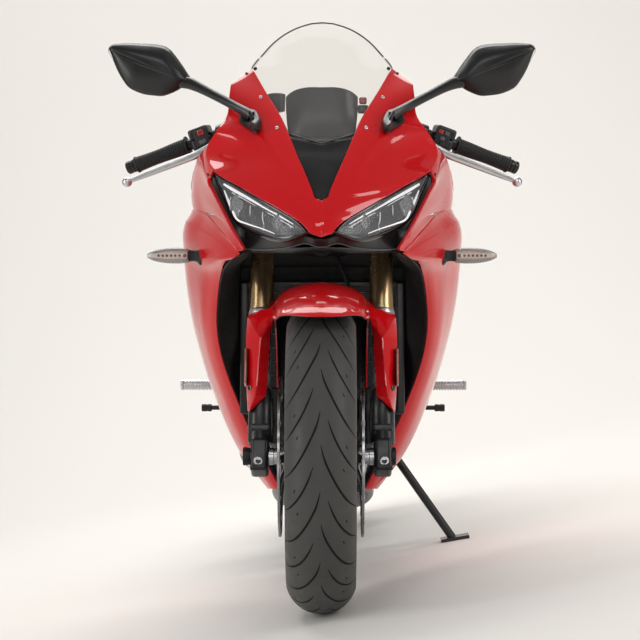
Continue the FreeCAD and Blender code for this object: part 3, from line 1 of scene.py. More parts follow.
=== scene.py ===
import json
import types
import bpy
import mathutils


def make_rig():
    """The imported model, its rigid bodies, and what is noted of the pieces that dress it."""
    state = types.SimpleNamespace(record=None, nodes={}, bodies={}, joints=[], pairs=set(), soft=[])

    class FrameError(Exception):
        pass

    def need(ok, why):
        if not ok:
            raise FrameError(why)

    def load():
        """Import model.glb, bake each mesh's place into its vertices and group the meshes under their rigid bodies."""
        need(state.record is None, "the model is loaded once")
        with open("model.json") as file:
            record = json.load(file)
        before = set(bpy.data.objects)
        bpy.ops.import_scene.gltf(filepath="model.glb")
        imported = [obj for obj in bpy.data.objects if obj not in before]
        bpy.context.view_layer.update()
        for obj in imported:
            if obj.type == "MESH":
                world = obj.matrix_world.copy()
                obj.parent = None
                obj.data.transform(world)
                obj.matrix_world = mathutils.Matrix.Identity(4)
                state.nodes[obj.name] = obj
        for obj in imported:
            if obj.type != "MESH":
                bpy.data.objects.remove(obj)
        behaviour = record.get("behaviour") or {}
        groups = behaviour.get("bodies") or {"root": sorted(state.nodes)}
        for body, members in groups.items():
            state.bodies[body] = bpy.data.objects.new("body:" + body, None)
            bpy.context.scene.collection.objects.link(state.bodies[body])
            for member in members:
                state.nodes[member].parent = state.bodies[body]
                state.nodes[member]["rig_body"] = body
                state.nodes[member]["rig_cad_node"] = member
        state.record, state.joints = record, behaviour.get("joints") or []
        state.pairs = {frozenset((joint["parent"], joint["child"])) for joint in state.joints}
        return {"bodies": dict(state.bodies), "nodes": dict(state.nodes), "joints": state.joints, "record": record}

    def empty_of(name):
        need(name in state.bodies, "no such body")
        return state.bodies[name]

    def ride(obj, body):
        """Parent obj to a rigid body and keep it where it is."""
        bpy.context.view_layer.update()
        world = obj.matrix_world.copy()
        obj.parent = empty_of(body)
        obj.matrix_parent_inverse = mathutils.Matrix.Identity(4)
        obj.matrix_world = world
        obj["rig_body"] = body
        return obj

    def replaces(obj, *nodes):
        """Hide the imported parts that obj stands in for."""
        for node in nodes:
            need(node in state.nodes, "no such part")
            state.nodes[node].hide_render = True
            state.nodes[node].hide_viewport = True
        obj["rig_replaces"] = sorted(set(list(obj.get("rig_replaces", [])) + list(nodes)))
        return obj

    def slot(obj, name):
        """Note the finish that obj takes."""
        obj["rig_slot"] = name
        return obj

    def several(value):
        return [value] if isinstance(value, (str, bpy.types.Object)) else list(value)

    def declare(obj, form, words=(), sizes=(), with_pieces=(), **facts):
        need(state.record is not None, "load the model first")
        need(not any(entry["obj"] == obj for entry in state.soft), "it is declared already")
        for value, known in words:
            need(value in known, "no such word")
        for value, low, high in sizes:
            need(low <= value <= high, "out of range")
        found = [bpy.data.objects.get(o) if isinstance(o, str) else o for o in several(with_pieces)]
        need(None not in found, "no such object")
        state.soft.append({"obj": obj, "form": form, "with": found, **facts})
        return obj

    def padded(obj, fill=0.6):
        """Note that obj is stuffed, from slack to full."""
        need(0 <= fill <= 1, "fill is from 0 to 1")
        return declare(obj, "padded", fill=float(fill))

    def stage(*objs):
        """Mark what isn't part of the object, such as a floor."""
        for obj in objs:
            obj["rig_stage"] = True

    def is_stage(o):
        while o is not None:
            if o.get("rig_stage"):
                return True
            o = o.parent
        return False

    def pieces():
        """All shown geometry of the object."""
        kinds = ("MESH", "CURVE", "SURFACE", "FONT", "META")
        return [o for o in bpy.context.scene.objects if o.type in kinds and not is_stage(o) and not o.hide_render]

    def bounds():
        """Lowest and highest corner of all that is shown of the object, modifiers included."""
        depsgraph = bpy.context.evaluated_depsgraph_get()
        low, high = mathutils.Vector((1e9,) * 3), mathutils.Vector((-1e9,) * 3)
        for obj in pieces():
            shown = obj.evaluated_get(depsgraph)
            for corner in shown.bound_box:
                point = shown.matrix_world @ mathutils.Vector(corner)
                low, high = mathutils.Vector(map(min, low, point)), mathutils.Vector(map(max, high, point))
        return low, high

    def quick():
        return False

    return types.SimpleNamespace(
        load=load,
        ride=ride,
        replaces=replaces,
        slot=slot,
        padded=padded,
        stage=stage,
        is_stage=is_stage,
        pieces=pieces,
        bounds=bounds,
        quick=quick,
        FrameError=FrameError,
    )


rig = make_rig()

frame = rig.load()
import json
import math
import random

import bpy
import numpy as np
from mathutils import Matrix, Vector

lo_cad, hi_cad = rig.bounds()
random.seed(11)
rng = np.random.default_rng(11)
scene = bpy.context.scene

# Everything is laid out upright, in millimetres (+X left, +Y to the tail, +Z up, ground at 0, front axle over y = 0),
# and LEAN takes it to the frame, where the machine leans on its side stand.
LEAN = Matrix.Translation((-0.1653, -0.7221, 0.00098)) @ Matrix.Rotation(math.radians(10.0), 4, "Y")


# ------------------------------------------------------------------ materials
def nodes_of(name):
    m = bpy.data.materials.new(name)
    m.use_nodes = True
    nt = m.node_tree
    nt.nodes.clear()
    out = nt.nodes.new("ShaderNodeOutputMaterial")
    p = nt.nodes.new("ShaderNodeBsdfPrincipled")
    nt.links.new(p.outputs[0], out.inputs[0])
    return m, nt, p, out


def surface(name, base, metallic=0.0, rough=0.4, vary=0.05, tint=0.06, scale=60.0, bump=0.0, bump_scale=300.0, bump_dist=0.0003,
            coat=0.0, coat_rough=0.03, spec=0.5, aniso=None, sheen=0.0, kind="noise"):
    m, nt, p, out = nodes_of(name)
    tc = nt.nodes.new("ShaderNodeTexCoord")
    mp = nt.nodes.new("ShaderNodeMapping")
    nt.links.new(tc.outputs["Object"], mp.inputs[0])
    if aniso:
        mp.inputs["Scale"].default_value = aniso
    n1 = nt.nodes.new("ShaderNodeTexNoise")
    n1.inputs["Scale"].default_value = scale
    n1.inputs["Detail"].default_value = 6
    nt.links.new(mp.outputs[0], n1.inputs["Vector"])
    r = nt.nodes.new("ShaderNodeMapRange")
    r.inputs["To Min"].default_value = max(0.0, rough - vary)
    r.inputs["To Max"].default_value = min(1.0, rough + vary)
    r.inputs["From Min"].default_value = 0.3
    r.inputs["From Max"].default_value = 0.7
    nt.links.new(n1.outputs["Fac"], r.inputs["Value"])
    nt.links.new(r.outputs[0], p.inputs["Roughness"])
    n2 = nt.nodes.new("ShaderNodeTexNoise")
    n2.inputs["Scale"].default_value = scale * 0.23
    n2.inputs["Detail"].default_value = 4
    nt.links.new(mp.outputs[0], n2.inputs["Vector"])
    mix = nt.nodes.new("ShaderNodeMix")
    mix.data_type = "RGBA"
    mix.inputs[6].default_value = (*[min(1, c * (1 + tint)) for c in base], 1)
    mix.inputs[7].default_value = (*[c * (1 - tint) for c in base], 1)
    nt.links.new(n2.outputs["Fac"], mix.inputs[0])
    nt.links.new(mix.outputs[2], p.inputs["Base Color"])
    p.inputs["Metallic"].default_value = metallic
    p.inputs["Coat Weight"].default_value = coat
    p.inputs["Coat Roughness"].default_value = coat_rough
    p.inputs["Specular IOR Level"].default_value = spec
    if sheen:
        p.inputs["Sheen Weight"].default_value = sheen
    if bump:
        if kind == "voronoi":
            t = nt.nodes.new("ShaderNodeTexVoronoi")
            h = t.outputs["Distance"]
        else:
            t = nt.nodes.new("ShaderNodeTexNoise")
            t.inputs["Detail"].default_value = 5
            h = t.outputs["Fac"]
        t.inputs["Scale"].default_value = bump_scale
        nt.links.new(mp.outputs[0], t.inputs["Vector"])
        b = nt.nodes.new("ShaderNodeBump")
        b.inputs["Strength"].default_value = bump
        b.inputs["Distance"].default_value = bump_dist
        nt.links.new(h, b.inputs["Height"])
        nt.links.new(b.outputs[0], p.inputs["Normal"])
        if coat:
            nt.links.new(b.outputs[0], p.inputs["Coat Normal"])
    return m


RED = surface("red_paint", (0.62, 0.004, 0.008), 0.0, 0.30, 0.03, 0.05, 14, 0.03, 900, 0.0001, coat=1.0, coat_rough=0.035, spec=0.08)
BLACK = surface("satin_black", (0.010, 0.010, 0.0105), 0.0, 0.34, 0.05, 0.10, 70, 0.08, 1500, 0.0001, coat=0.10, coat_rough=0.2, spec=0.4)
BLACKG = surface("gloss_black", (0.008, 0.008, 0.009), 0.0, 0.18, 0.04, 0.10, 50, 0.02, 900, 0.0001, coat=0.6, coat_rough=0.06)
BLACKM = surface("matt_black", (0.010, 0.010, 0.011), 0.0, 0.62, 0.08, 0.15, 90, 0.25, 1100, 0.0002)
TYRE = surface("tyre_rubber", (0.055, 0.053, 0.051), 0.0, 0.55, 0.08, 0.14, 45, 0.35, 1400, 0.0002, spec=0.42)
RUBBER = surface("grip_rubber", (0.012, 0.012, 0.013), 0.0, 0.58, 0.06, 0.12, 90, 0.3, 1600, 0.0002)
GOLD = surface("fork_gold", (0.60, 0.43, 0.22), 1.0, 0.27, 0.03, 0.04, 12, 0.02, 300, 0.0001)
STEEL = surface("brushed_steel", (0.50, 0.50, 0.51), 1.0, 0.30, 0.07, 0.08, 60, 0.10, 500, 0.0001, aniso=(10, 1, 1))
DISC = surface("disc_steel", (0.30, 0.30, 0.31), 1.0, 0.27, 0.08, 0.10, 40, 0.12, 350, 0.0001, aniso=(6, 1, 1))
ALU = surface("satin_aluminium", (0.62, 0.62, 0.63), 1.0, 0.33, 0.06, 0.06, 80, 0.12, 700, 0.0001)
CHROME = surface("bright_chrome", (0.80, 0.80, 0.81), 1.0, 0.09, 0.03, 0.03, 40, 0.02, 300, 0.0001)
DKMETAL = surface("dark_metal", (0.032, 0.032, 0.035), 0.75, 0.42, 0.07, 0.15, 60, 0.2, 700, 0.0002)
FRAME = surface("frame_paint", (0.030, 0.031, 0.034), 0.35, 0.44, 0.06, 0.12, 50, 0.18, 800, 0.0002)
ENGINE = surface("engine_paint", (0.045, 0.046, 0.050), 0.6, 0.50, 0.08, 0.18, 40, 0.5, 420, 0.0004)
SEAT = surface("seat_vinyl", (0.013, 0.013, 0.014), 0.0, 0.55, 0.07, 0.14, 60, 0.5, 1100, 0.0004, kind="voronoi")
CHAINM = surface("chain_steel", (0.16, 0.14, 0.11), 0.9, 0.42, 0.10, 0.2, 120, 0.3, 500, 0.0003)
MUFF = surface("silencer_steel", (0.33, 0.33, 0.34), 1.0, 0.34, 0.08, 0.10, 30, 0.1, 300, 0.0001, aniso=(1, 12, 1))
REFLECT = surface("lamp_reflector", (0.55, 0.56, 0.58), 1.0, 0.16, 0.05, 0.08, 30, 0.05, 200, 0.0001)
SMOKE = surface("lamp_smoked", (0.05, 0.052, 0.056), 0.6, 0.24, 0.06, 0.1, 40, 0.04, 200, 0.0001)
AMBER = surface("amber_lens", (0.75, 0.17, 0.012), 0.0, 0.18, 0.04, 0.08, 60, 0.5, 500, 0.0005, coat=0.6, kind="voronoi")
REDLENS = surface("red_lens", (0.40, 0.008, 0.008), 0.0, 0.16, 0.04, 0.08, 60, 0.5, 400, 0.0005, coat=0.7, kind="voronoi")
GREYP = surface("grey_plastic", (0.10, 0.10, 0.105), 0.0, 0.40, 0.06, 0.1, 60, 0.1, 900, 0.0002)


def glass(name, tint, rough=0.02, alpha=0.82, bump=0.0, ior=1.45, ribs=0.0):
    """A thin clear skin: mostly see-through, with a glossy face."""
    m, nt, p, out = nodes_of(name)
    p.inputs["Base Color"].default_value = (*tint, 1)
    tc = nt.nodes.new("ShaderNodeTexCoord")
    n = nt.nodes.new("ShaderNodeTexNoise")
    n.inputs["Scale"].default_value = 35
    nt.links.new(tc.outputs["Object"], n.inputs["Vector"])
    r = nt.nodes.new("ShaderNodeMapRange")
    r.inputs["To Min"].default_value = rough
    r.inputs["To Max"].default_value = rough + 0.04
    nt.links.new(n.outputs["Fac"], r.inputs["Value"])
    nt.links.new(r.outputs[0], p.inputs["Roughness"])
    p.inputs["IOR"].default_value = ior
    p.inputs["Specular IOR Level"].default_value = 0.6
    if ribs:
        w = nt.nodes.new("ShaderNodeTexWave")
        w.inputs["Scale"].default_value = ribs
        w.bands_direction = "X"
        nt.links.new(tc.outputs["Object"], w.inputs["Vector"])
        b = nt.nodes.new("ShaderNodeBump")
        b.inputs["Strength"].default_value = 0.6
        b.inputs["Distance"].default_value = 0.001
        nt.links.new(w.outputs["Fac"], b.inputs["Height"])
        nt.links.new(b.outputs[0], p.inputs["Normal"])
    else:
        b = nt.nodes.new("ShaderNodeBump")
        b.inputs["Strength"].default_value = 0.03 + bump
        b.inputs["Distance"].default_value = 0.0004
        n3 = nt.nodes.new("ShaderNodeTexNoise")
        n3.inputs["Scale"].default_value = 9
        nt.links.new(tc.outputs["Object"], n3.inputs["Vector"])
        nt.links.new(n3.outputs["Fac"], b.inputs["Height"])
        nt.links.new(b.outputs[0], p.inputs["Normal"])
    tr = nt.nodes.new("ShaderNodeBsdfTransparent")
    tr.inputs[0].default_value = (*[min(1.0, 0.55 + 0.45 * c) for c in tint], 1)
    fr = nt.nodes.new("ShaderNodeFresnel")
    fr.inputs["IOR"].default_value = ior
    mx = nt.nodes.new("ShaderNodeMath")
    mx.operation = "MULTIPLY_ADD"
    nt.links.new(fr.outputs[0], mx.inputs[0])
    mx.inputs[1].default_value = 0.75
    mx.inputs[2].default_value = 1.0 - alpha
    mx.use_clamp = True
    geo = nt.nodes.new("ShaderNodeNewGeometry")
    front = nt.nodes.new("ShaderNodeMath")
    front.operation = "SUBTRACT"
    front.inputs[0].default_value = 1.0
    nt.links.new(geo.outputs["Backfacing"], front.inputs[1])
    both = nt.nodes.new("ShaderNodeMath")
    both.operation = "MULTIPLY"
    nt.links.new(mx.outputs[0], both.inputs[0])
    nt.links.new(front.outputs[0], both.inputs[1])
    mix = nt.nodes.new("ShaderNodeMixShader")
    nt.links.new(both.outputs[0], mix.inputs[0])
    nt.links.new(tr.outputs[0], mix.inputs[1])
    nt.links.new(p.outputs[0], mix.inputs[2])
    nt.links.new(mix.outputs[0], out.inputs[0])
    return m


SCREENG = glass("screen_clear", (0.90, 0.89, 0.87), 0.02, 0.94)
LAMPG = glass("lamp_clear", (0.92, 0.93, 0.94), 0.015, 0.93)
CLEARL = glass("signal_clear", (0.80, 0.79, 0.76), 0.06, 0.55, ribs=90.0)
MIRRORM = surface("mirror_face", (0.86, 0.87, 0.88), 1.0, 0.03, 0.015, 0.02, 30, 0.01, 200, 0.0001)


def glow(name, col, strength):
    m, nt, p, out = nodes_of(name)
    p.inputs["Base Color"].default_value = (0.8, 0.8, 0.8, 1)
    tc = nt.nodes.new("ShaderNodeTexCoord")
    n = nt.nodes.new("ShaderNodeTexNoise")
    n.inputs["Scale"].default_value = 120
    nt.links.new(tc.outputs["Object"], n.inputs["Vector"])
    r = nt.nodes.new("ShaderNodeMapRange")
    r.inputs["To Min"].default_value = strength * 0.8
    r.inputs["To Max"].default_value = strength * 1.2
    nt.links.new(n.outputs["Fac"], r.inputs["Value"])
    nt.links.new(r.outputs[0], p.inputs["Emission Strength"])
    p.inputs["Emission Color"].default_value = (*col, 1)
    p.inputs["Roughness"].default_value = 0.3
    return m


LIGHTBAR = glow("light_bar", (0.95, 0.97, 1.0), 0.42)
FAINTBAR = glow("faint_bar", (0.85, 0.88, 0.92), 0.20)


# ------------------------------------------------------------------ meshes
def add(name, verts, faces, mat, body="chassis", slot=None, smooth=True, sharp=38.0, repl=None):
    me = bpy.data.meshes.new(name)
    me.from_pydata([(v[0] / 1000.0, v[1] / 1000.0, v[2] / 1000.0) for v in verts], [], [tuple(int(i) for i in f) for f in faces])
    me.validate()
    me.update()
    for pol in me.polygons:
        pol.use_smooth = smooth
    if smooth and sharp:
        me.set_sharp_from_angle(angle=math.radians(sharp))
    me.materials.append(mat)
    o = bpy.data.objects.new(name, me)
    scene.collection.objects.link(o)
    o.matrix_world = LEAN
    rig.ride(o, body)
    if slot:
        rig.slot(o, slot)
    for r in ([repl] if isinstance(repl, str) else (repl or [])):
        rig.replaces(o, r)
    return o


def cr(P, n, corners=(), closed=False):
    """A smooth line through the points, n steps to each span, with a bend kept at each corner."""
    P = np.asarray(P, float)
    if closed:
        Q = np.vstack([P[-2:], P, P[:3]])
        out = cr(Q, n)
        return out[2 * n: 2 * n + len(P) * n]
    m = len(P)
    d = np.maximum(np.linalg.norm(np.diff(P, axis=0), axis=1), 1e-6)
    s = np.diff(P, axis=0) / d[:, None]
    tin, tout = np.zeros_like(P), np.zeros_like(P)
    for i in range(1, m - 1):
        t = (s[i - 1] * d[i] + s[i] * d[i - 1]) / (d[i] + d[i - 1])
        tin[i] = tout[i] = t
        if i in corners:
            tin[i], tout[i] = s[i - 1], s[i]
    tout[0] = 1.5 * s[0] - 0.5 * (tin[1] if m > 2 else s[0])
    tin[-1] = 1.5 * s[-1] - 0.5 * (tout[-2] if m > 2 else s[-1])
    for i in range(1, m - 1):
        if i in corners:
            tin[i] = 1.5 * s[i - 1] - 0.5 * tout[i - 1]
            nxt = tin[i + 1]
            tout[i] = 1.5 * s[i] - 0.5 * nxt
    out = []
    for i in range(m - 1):
        for k in range(n):
            u = k / n
            h00, h10, h01, h11 = 2 * u**3 - 3 * u**2 + 1, u**3 - 2 * u**2 + u, -2 * u**3 + 3 * u**2, u**3 - u**2
            out.append(h00 * P[i] + h10 * d[i] * tout[i] + h01 * P[i + 1] + h11 * d[i] * tin[i + 1])
    out.append(P[-1])
    return np.array(out)


def refine(grid, nr, nc, rcorn=(), ccorn=()):
    """The grid's rows and columns made smooth and dense."""
    rows = [cr(r, nc, ccorn) for r in grid]
    rows = np.array(rows)
    cols = [cr(rows[:, j], nr, rcorn) for j in range(rows.shape[1])]
    return np.array(cols).transpose(1, 0, 2)


def grid_normals(G):
    du = np.gradient(G, axis=0)
    dv = np.gradient(G, axis=1)
    n = np.cross(du, dv)
    ln = np.linalg.norm(n, axis=2, keepdims=True)
    return n / np.maximum(ln, 1e-9)


MID = np.array([0, 420.0, 560.0])


def shell(name, G, mat, thick=3.0, body="chassis", slot=None, side=1, mid=None, repl=None, sharp=38.0, wrap=False):
    """A panel from a dense grid, with thickness on the side of mid."""
    G = np.array(G, float)
    if side < 0:
        G = G * np.array([-1.0, 1, 1])
    N = grid_normals(G)
    mid_ = np.array(mid if mid is not None else MID, float)
    if mid is not None and side < 0:
        mid_ = mid_ * np.array([-1.0, 1, 1])
    a, b = G.shape[0] // 2, G.shape[1] // 2
    if np.dot(N[a, b], mid_ - G[a, b]) > 0:
        G = G[:, ::-1]
        N = -N[:, ::-1]
    R, C = G.shape[:2]
    V = G.reshape(-1, 3)
    F = []
    idx = lambda i, j: i * C + j
    if not thick:
        for i in range(R - 1):
            for j in range(C - 1):
                F.append((idx(i, j), idx(i + 1, j), idx(i + 1, j + 1), idx(i, j + 1)))
        return add(name, V, F, mat, body, slot, repl=repl, sharp=sharp)
    W = (G - N * thick).reshape(-1, 3)
    k = R * C
    for i in range(R - 1):
        for j in range(C - 1):
            F.append((idx(i, j), idx(i + 1, j), idx(i + 1, j + 1), idx(i, j + 1)))
            F.append((k + idx(i, j), k + idx(i, j + 1), k + idx(i + 1, j + 1), k + idx(i + 1, j)))
    for j in range(C - 1):
        F.append((idx(0, j), idx(0, j + 1), k + idx(0, j + 1), k + idx(0, j)))
        F.append((idx(R - 1, j + 1), idx(R - 1, j), k + idx(R - 1, j), k + idx(R - 1, j + 1)))
    for i in range(R - 1):
        F.append((idx(i + 1, 0), idx(i, 0), k + idx(i, 0), k + idx(i + 1, 0)))
        F.append((idx(i, C - 1), idx(i + 1, C - 1), k + idx(i + 1, C - 1), k + idx(i, C - 1)))
    return add(name, np.vstack([V, W]), F, mat, body, slot, repl=repl, sharp=sharp)


def frames_along(P):
    P = np.asarray(P, float)
    T = np.gradient(P, axis=0)
    T /= np.maximum(np.linalg.norm(T, axis=1, keepdims=True), 1e-9)
    ref = np.array([0, 0, 1.0]) if abs(T[0][2]) < 0.9 else np.array([0, 1.0, 0])
    U = np.cross(ref, T[0])
    U /= np.linalg.norm(U)
    out = []
    for t in T:
        U = U - t * np.dot(U, t)
        U /= max(np.linalg.norm(U), 1e-9)
        out.append((U.copy(), np.cross(t, U)))
    return out


def sweep(name, P, r, mat, body="chassis", slot=None, segs=18, smooth=0, cap=True, sq=None, repl=None, sharp=38.0):
    """A round or oval bar along points; r is one radius or one to each point; sq squashes it across."""
    P = np.asarray(P, float)
    rr = np.full(len(P), float(r)) if np.isscalar(r) else np.asarray(r, float)
    if smooth:
        t = cr(np.column_stack([P, rr]), smooth)
        P, rr = t[:, :3], t[:, 3]
    V, F = [], []
    for (u, v), p, q in zip(frames_along(P), P, rr):
        for k in range(segs):
            a = 2 * math.pi * k / segs
            V.append(p + u * math.cos(a) * q * (sq or 1.0) + v * math.sin(a) * q)
    n = len(P)
    for i in range(n - 1):
        for k in range(segs):
            k2 = (k + 1) % segs
            F.append((i * segs + k, i * segs + k2, (i + 1) * segs + k2, (i + 1) * segs + k))
    if cap:
        F.append(tuple(range(segs))[::-1])
        F.append(tuple((n - 1) * segs + k for k in range(segs)))
    return add(name, V, F, mat, body, slot, repl=repl, sharp=sharp)


def rings(name, R, mat, body="chassis", slot=None, nr=4, nc=4, cap=True, side=1, repl=None, sharp=38.0, corners=(), rcorn=(), closed_ends=None):
    """A closed body through rings of points, all with the same count."""
    R = [np.asarray(r, float) for r in R]
    if nc > 1:
        R = [cr(r, nc, closed=True) for r in R]
    G = np.array(R)
    if nr > 1:
        G = np.array([cr(G[:, j], nr, rcorn) for j in range(G.shape[1])]).transpose(1, 0, 2)
    if side < 0:
        G = G * np.array([-1.0, 1, 1])
        G = G[:, ::-1]
    n, m = G.shape[:2]
    V = list(G.reshape(-1, 3))
    F = []
    for i in range(n - 1):
        for k in range(m):
            k2 = (k + 1) % m
            F.append((i * m + k, i * m + k2, (i + 1) * m + k2, (i + 1) * m + k))
    if cap:
        for i, flip in ((0, True), (n - 1, False)):
            c = G[i].mean(0)
            V.append(c)
            ci = len(V) - 1
            for k in range(m):
                k2 = (k + 1) % m
                F.append((ci, i * m + k2, i * m + k) if flip else (ci, i * m + k, i * m + k2))
    me = add(name, V, F, mat, body, slot, repl=repl, sharp=sharp)
    import bmesh
    bm = bmesh.new()
    bm.from_mesh(me.data)
    bmesh.ops.recalc_face_normals(bm, faces=bm.faces)
    bm.to_mesh(me.data)
    bm.free()
    return me


def turned(name, prof, c, axis, mat, body="chassis", slot=None, segs=48, closed=False, repl=None, sharp=38.0):
    """A turned body: prof is (along the axis, radius) round the axis through c."""
    ax = Vector(axis).normalized()
    ref = Vector((0, 0, 1)) if abs(ax.z) < 0.9 else Vector((0, 1, 0))
    u = ax.cross(ref).normalized()
    v = ax.cross(u)
    c = Vector(c)
    V, F = [], []
    m = len(prof)
    for a, r in prof:
        for k in range(segs):
            t = 2 * math.pi * k / segs
            V.append(tuple(c + ax * a + u * (r * math.cos(t)) + v * (r * math.sin(t))))
    last = m if closed else m - 1
    for i in range(last):
        j = (i + 1) % m
        for k in range(segs):
            k2 = (k + 1) % segs
            F.append((i * segs + k, i * segs + k2, j * segs + k2, j * segs + k))
    if not closed:
        F.append(tuple(range(segs))[::-1])
        F.append(tuple((m - 1) * segs + k for k in range(segs)))
    o = add(name, V, F, mat, body, slot, repl=repl, sharp=sharp)
    import bmesh
    bm = bmesh.new()
    bm.from_mesh(o.data)
    bmesh.ops.recalc_face_normals(bm, faces=bm.faces)
    bm.to_mesh(o.data)
    bm.free()
    return o


def block(name, size, c, mat, body="chassis", slot=None, rot=None, bev=2.0, segs=3, repl=None):
    """A box with rounded edges.  rot is a 3x3 of its own axes as columns, or angles in degrees."""
    x, y, z = size[0] / 2, size[1] / 2, size[2] / 2
    V = [Vector((i * x, j * y, k * z)) for i in (-1, 1) for j in (-1, 1) for k in (-1, 1)]
    F = [(0, 1, 3, 2), (4, 6, 7, 5), (0, 4, 5, 1), (2, 3, 7, 6), (0, 2, 6, 4), (1, 5, 7, 3)]
    if rot is not None:
        M = rot if isinstance(rot, Matrix) else (Matrix.Rotation(math.radians(rot[2]), 3, "Z") @ Matrix.Rotation(math.radians(rot[1]), 3, "Y") @ Matrix.Rotation(math.radians(rot[0]), 3, "X"))
        V = [M @ v for v in V]
    V = [v + Vector(c) for v in V]
    o = add(name, [tuple(v) for v in V], F, mat, body, slot, repl=repl, sharp=None)
    import bmesh
    bm = bmesh.new()
    bm.from_mesh(o.data)
    bmesh.ops.recalc_face_normals(bm, faces=bm.faces)
    if bev:
        bmesh.ops.bevel(bm, geom=list(bm.edges), offset=bev / 1000.0, segments=segs, affect="EDGES", profile=0.6)
    bm.to_mesh(o.data)
    bm.free()
    for pol in o.data.polygons:
        pol.use_smooth = True
    o.data.set_sharp_from_angle(angle=math.radians(50))
    return o


def prism(name, outline, axis_vec, thick, mat, body="chassis", slot=None, bev=1.0, repl=None, side=1):
    """A flat plate: an outline of points in space, given thickness along a vector, with rounded edges."""
    P = [Vector(p) for p in outline]
    if side < 0:
        P = [Vector((-p.x, p.y, p.z)) for p in P]
        axis_vec = (-axis_vec[0], axis_vec[1], axis_vec[2])
    d = Vector(axis_vec).normalized() * thick
    n = len(P)
    V = [tuple(p) for p in P] + [tuple(p + d) for p in P]
    F = [tuple(range(n)), tuple(range(n, 2 * n))[::-1]] + [(i, (i + 1) % n, n + (i + 1) % n, n + i) for i in range(n)]
    o = add(name, V, F, mat, body, slot, repl=repl, sharp=None)
    import bmesh
    bm = bmesh.new()
    bm.from_mesh(o.data)
    bmesh.ops.recalc_face_normals(bm, faces=bm.faces)
    if bev:
        bmesh.ops.bevel(bm, geom=list(bm.edges), offset=bev / 1000.0, segments=2, affect="EDGES", profile=0.6)
    bm.to_mesh(o.data)
    bm.free()
    for pol in o.data.polygons:
        pol.use_smooth = True
    o.data.set_sharp_from_angle(angle=math.radians(45))
    return o


def join(name, objs):
    """Pieces of one body and material made one piece."""
    bpy.ops.object.select_all(action="DESELECT")
    for o in objs:
        o.select_set(True)
    bpy.context.view_layer.objects.active = objs[0]
    bpy.ops.object.join()
    objs[0].name = name
    return objs[0]


# ------------------------------------------------------------------ shared lines
def fp(h, row, y):
    k = 2160.0 / (4000.0 + y)
    return (h / k, y, 600.0 + (289.0 - row) / k)


def mixf(a, b, t):
    return a + (b - a) * t


def span(inner, outer, n, power=1.5, bow=0.0, ends=None):
    out = []
    for i in range(n):
        t = i / (n - 1.0)
        out.append(fp(mixf(inner[0], outer[0], t), mixf(inner[1], outer[1], t) - bow * math.sin(math.pi * t), mixf(inner[2], outer[2], t ** power)))
    return out


RAKE = math.radians(24.5)
SRK, CRK = math.sin(RAKE), math.cos(RAKE)
UP = np.array([0, SRK, CRK])
BACK = np.array([0, CRK, -SRK])


def leg(t, s=1, n=0.0, dx=0.0):
    return np.array([s * (114.0 + dx), 0, 290.0]) + UP * t + BACK * n


FORKM = Matrix.Rotation(-RAKE, 3, "X")


def weld(name, sheets, mat, thick=3.5, body="chassis", slot=None, repl=None, bevel=0.9, sharp=40.0, tol=0.3, inward=None):
    """Sheets of dense points welded into one panel, given thickness to the inside and rounded edges."""
    import bmesh
    V, F = [], []
    for G in sheets:
        G = np.asarray(G, float)
        n = np.cross(np.gradient(G, axis=0), np.gradient(G, axis=1))
        c = G.reshape(-1, 3).mean(0)
        mid = np.array(inward if inward is not None else MID, float)
        out = (G - mid)
        if (n * out).sum() < 0:
            G = G[:, ::-1]
        R, C = G.shape[:2]
        b = len(V)
        V += list(G.reshape(-1, 3))
        for i in range(R - 1):
            for j in range(C - 1):
                F.append((b + i * C + j, b + (i + 1) * C + j, b + (i + 1) * C + j + 1, b + i * C + j + 1))
    o = add(name, V, F, mat, body, slot, repl=repl, sharp=sharp)
    bm = bmesh.new()
    bm.from_mesh(o.data)
    bmesh.ops.remove_doubles(bm, verts=bm.verts, dist=tol / 1000.0)
    bm.to_mesh(o.data)
    bm.free()
    for pol in o.data.polygons:
        pol.use_smooth = True
    o.data.set_sharp_from_angle(angle=math.radians(sharp))
    if thick:
        s = o.modifiers.new("thick", "SOLIDIFY")
        s.thickness = thick / 1000.0
        s.offset = -1.0
    if bevel and thick:
        v = o.modifiers.new("edge", "BEVEL")
        v.width = bevel / 1000.0
        v.segments = 2
        v.limit_method = "ANGLE"
        v.angle_limit = math.radians(55)
    return o


def flip(G):
    return np.asarray(G, float) * np.array([-1.0, 1, 1])


def shift(G, dx=0.0, dy=0.0, dz=0.0):
    return np.asarray(G, float) + np.array([dx, dy, dz])


def inset(G, d):
    """The sheet moved d to the inside, along its own normals."""
    G = np.asarray(G, float)
    N = grid_normals(G)
    if (N * (G - MID)).sum() < 0:
        N = -N
    return G - N * d


def pxline(pts):
    return np.array([fp(*p) for p in pts])


def tiny_screw(name, p, n, r=4.0, mat=None, body="chassis"):
    n = np.asarray(n, float)
    n /= np.linalg.norm(n)
    return turned(name, [(-1.0, r), (0.9, r), (1.6, r * 0.72), (1.6, r * 0.42), (0.5, r * 0.38), (0.5, 0.01)], p, n, mat or ALU, body, segs=20)


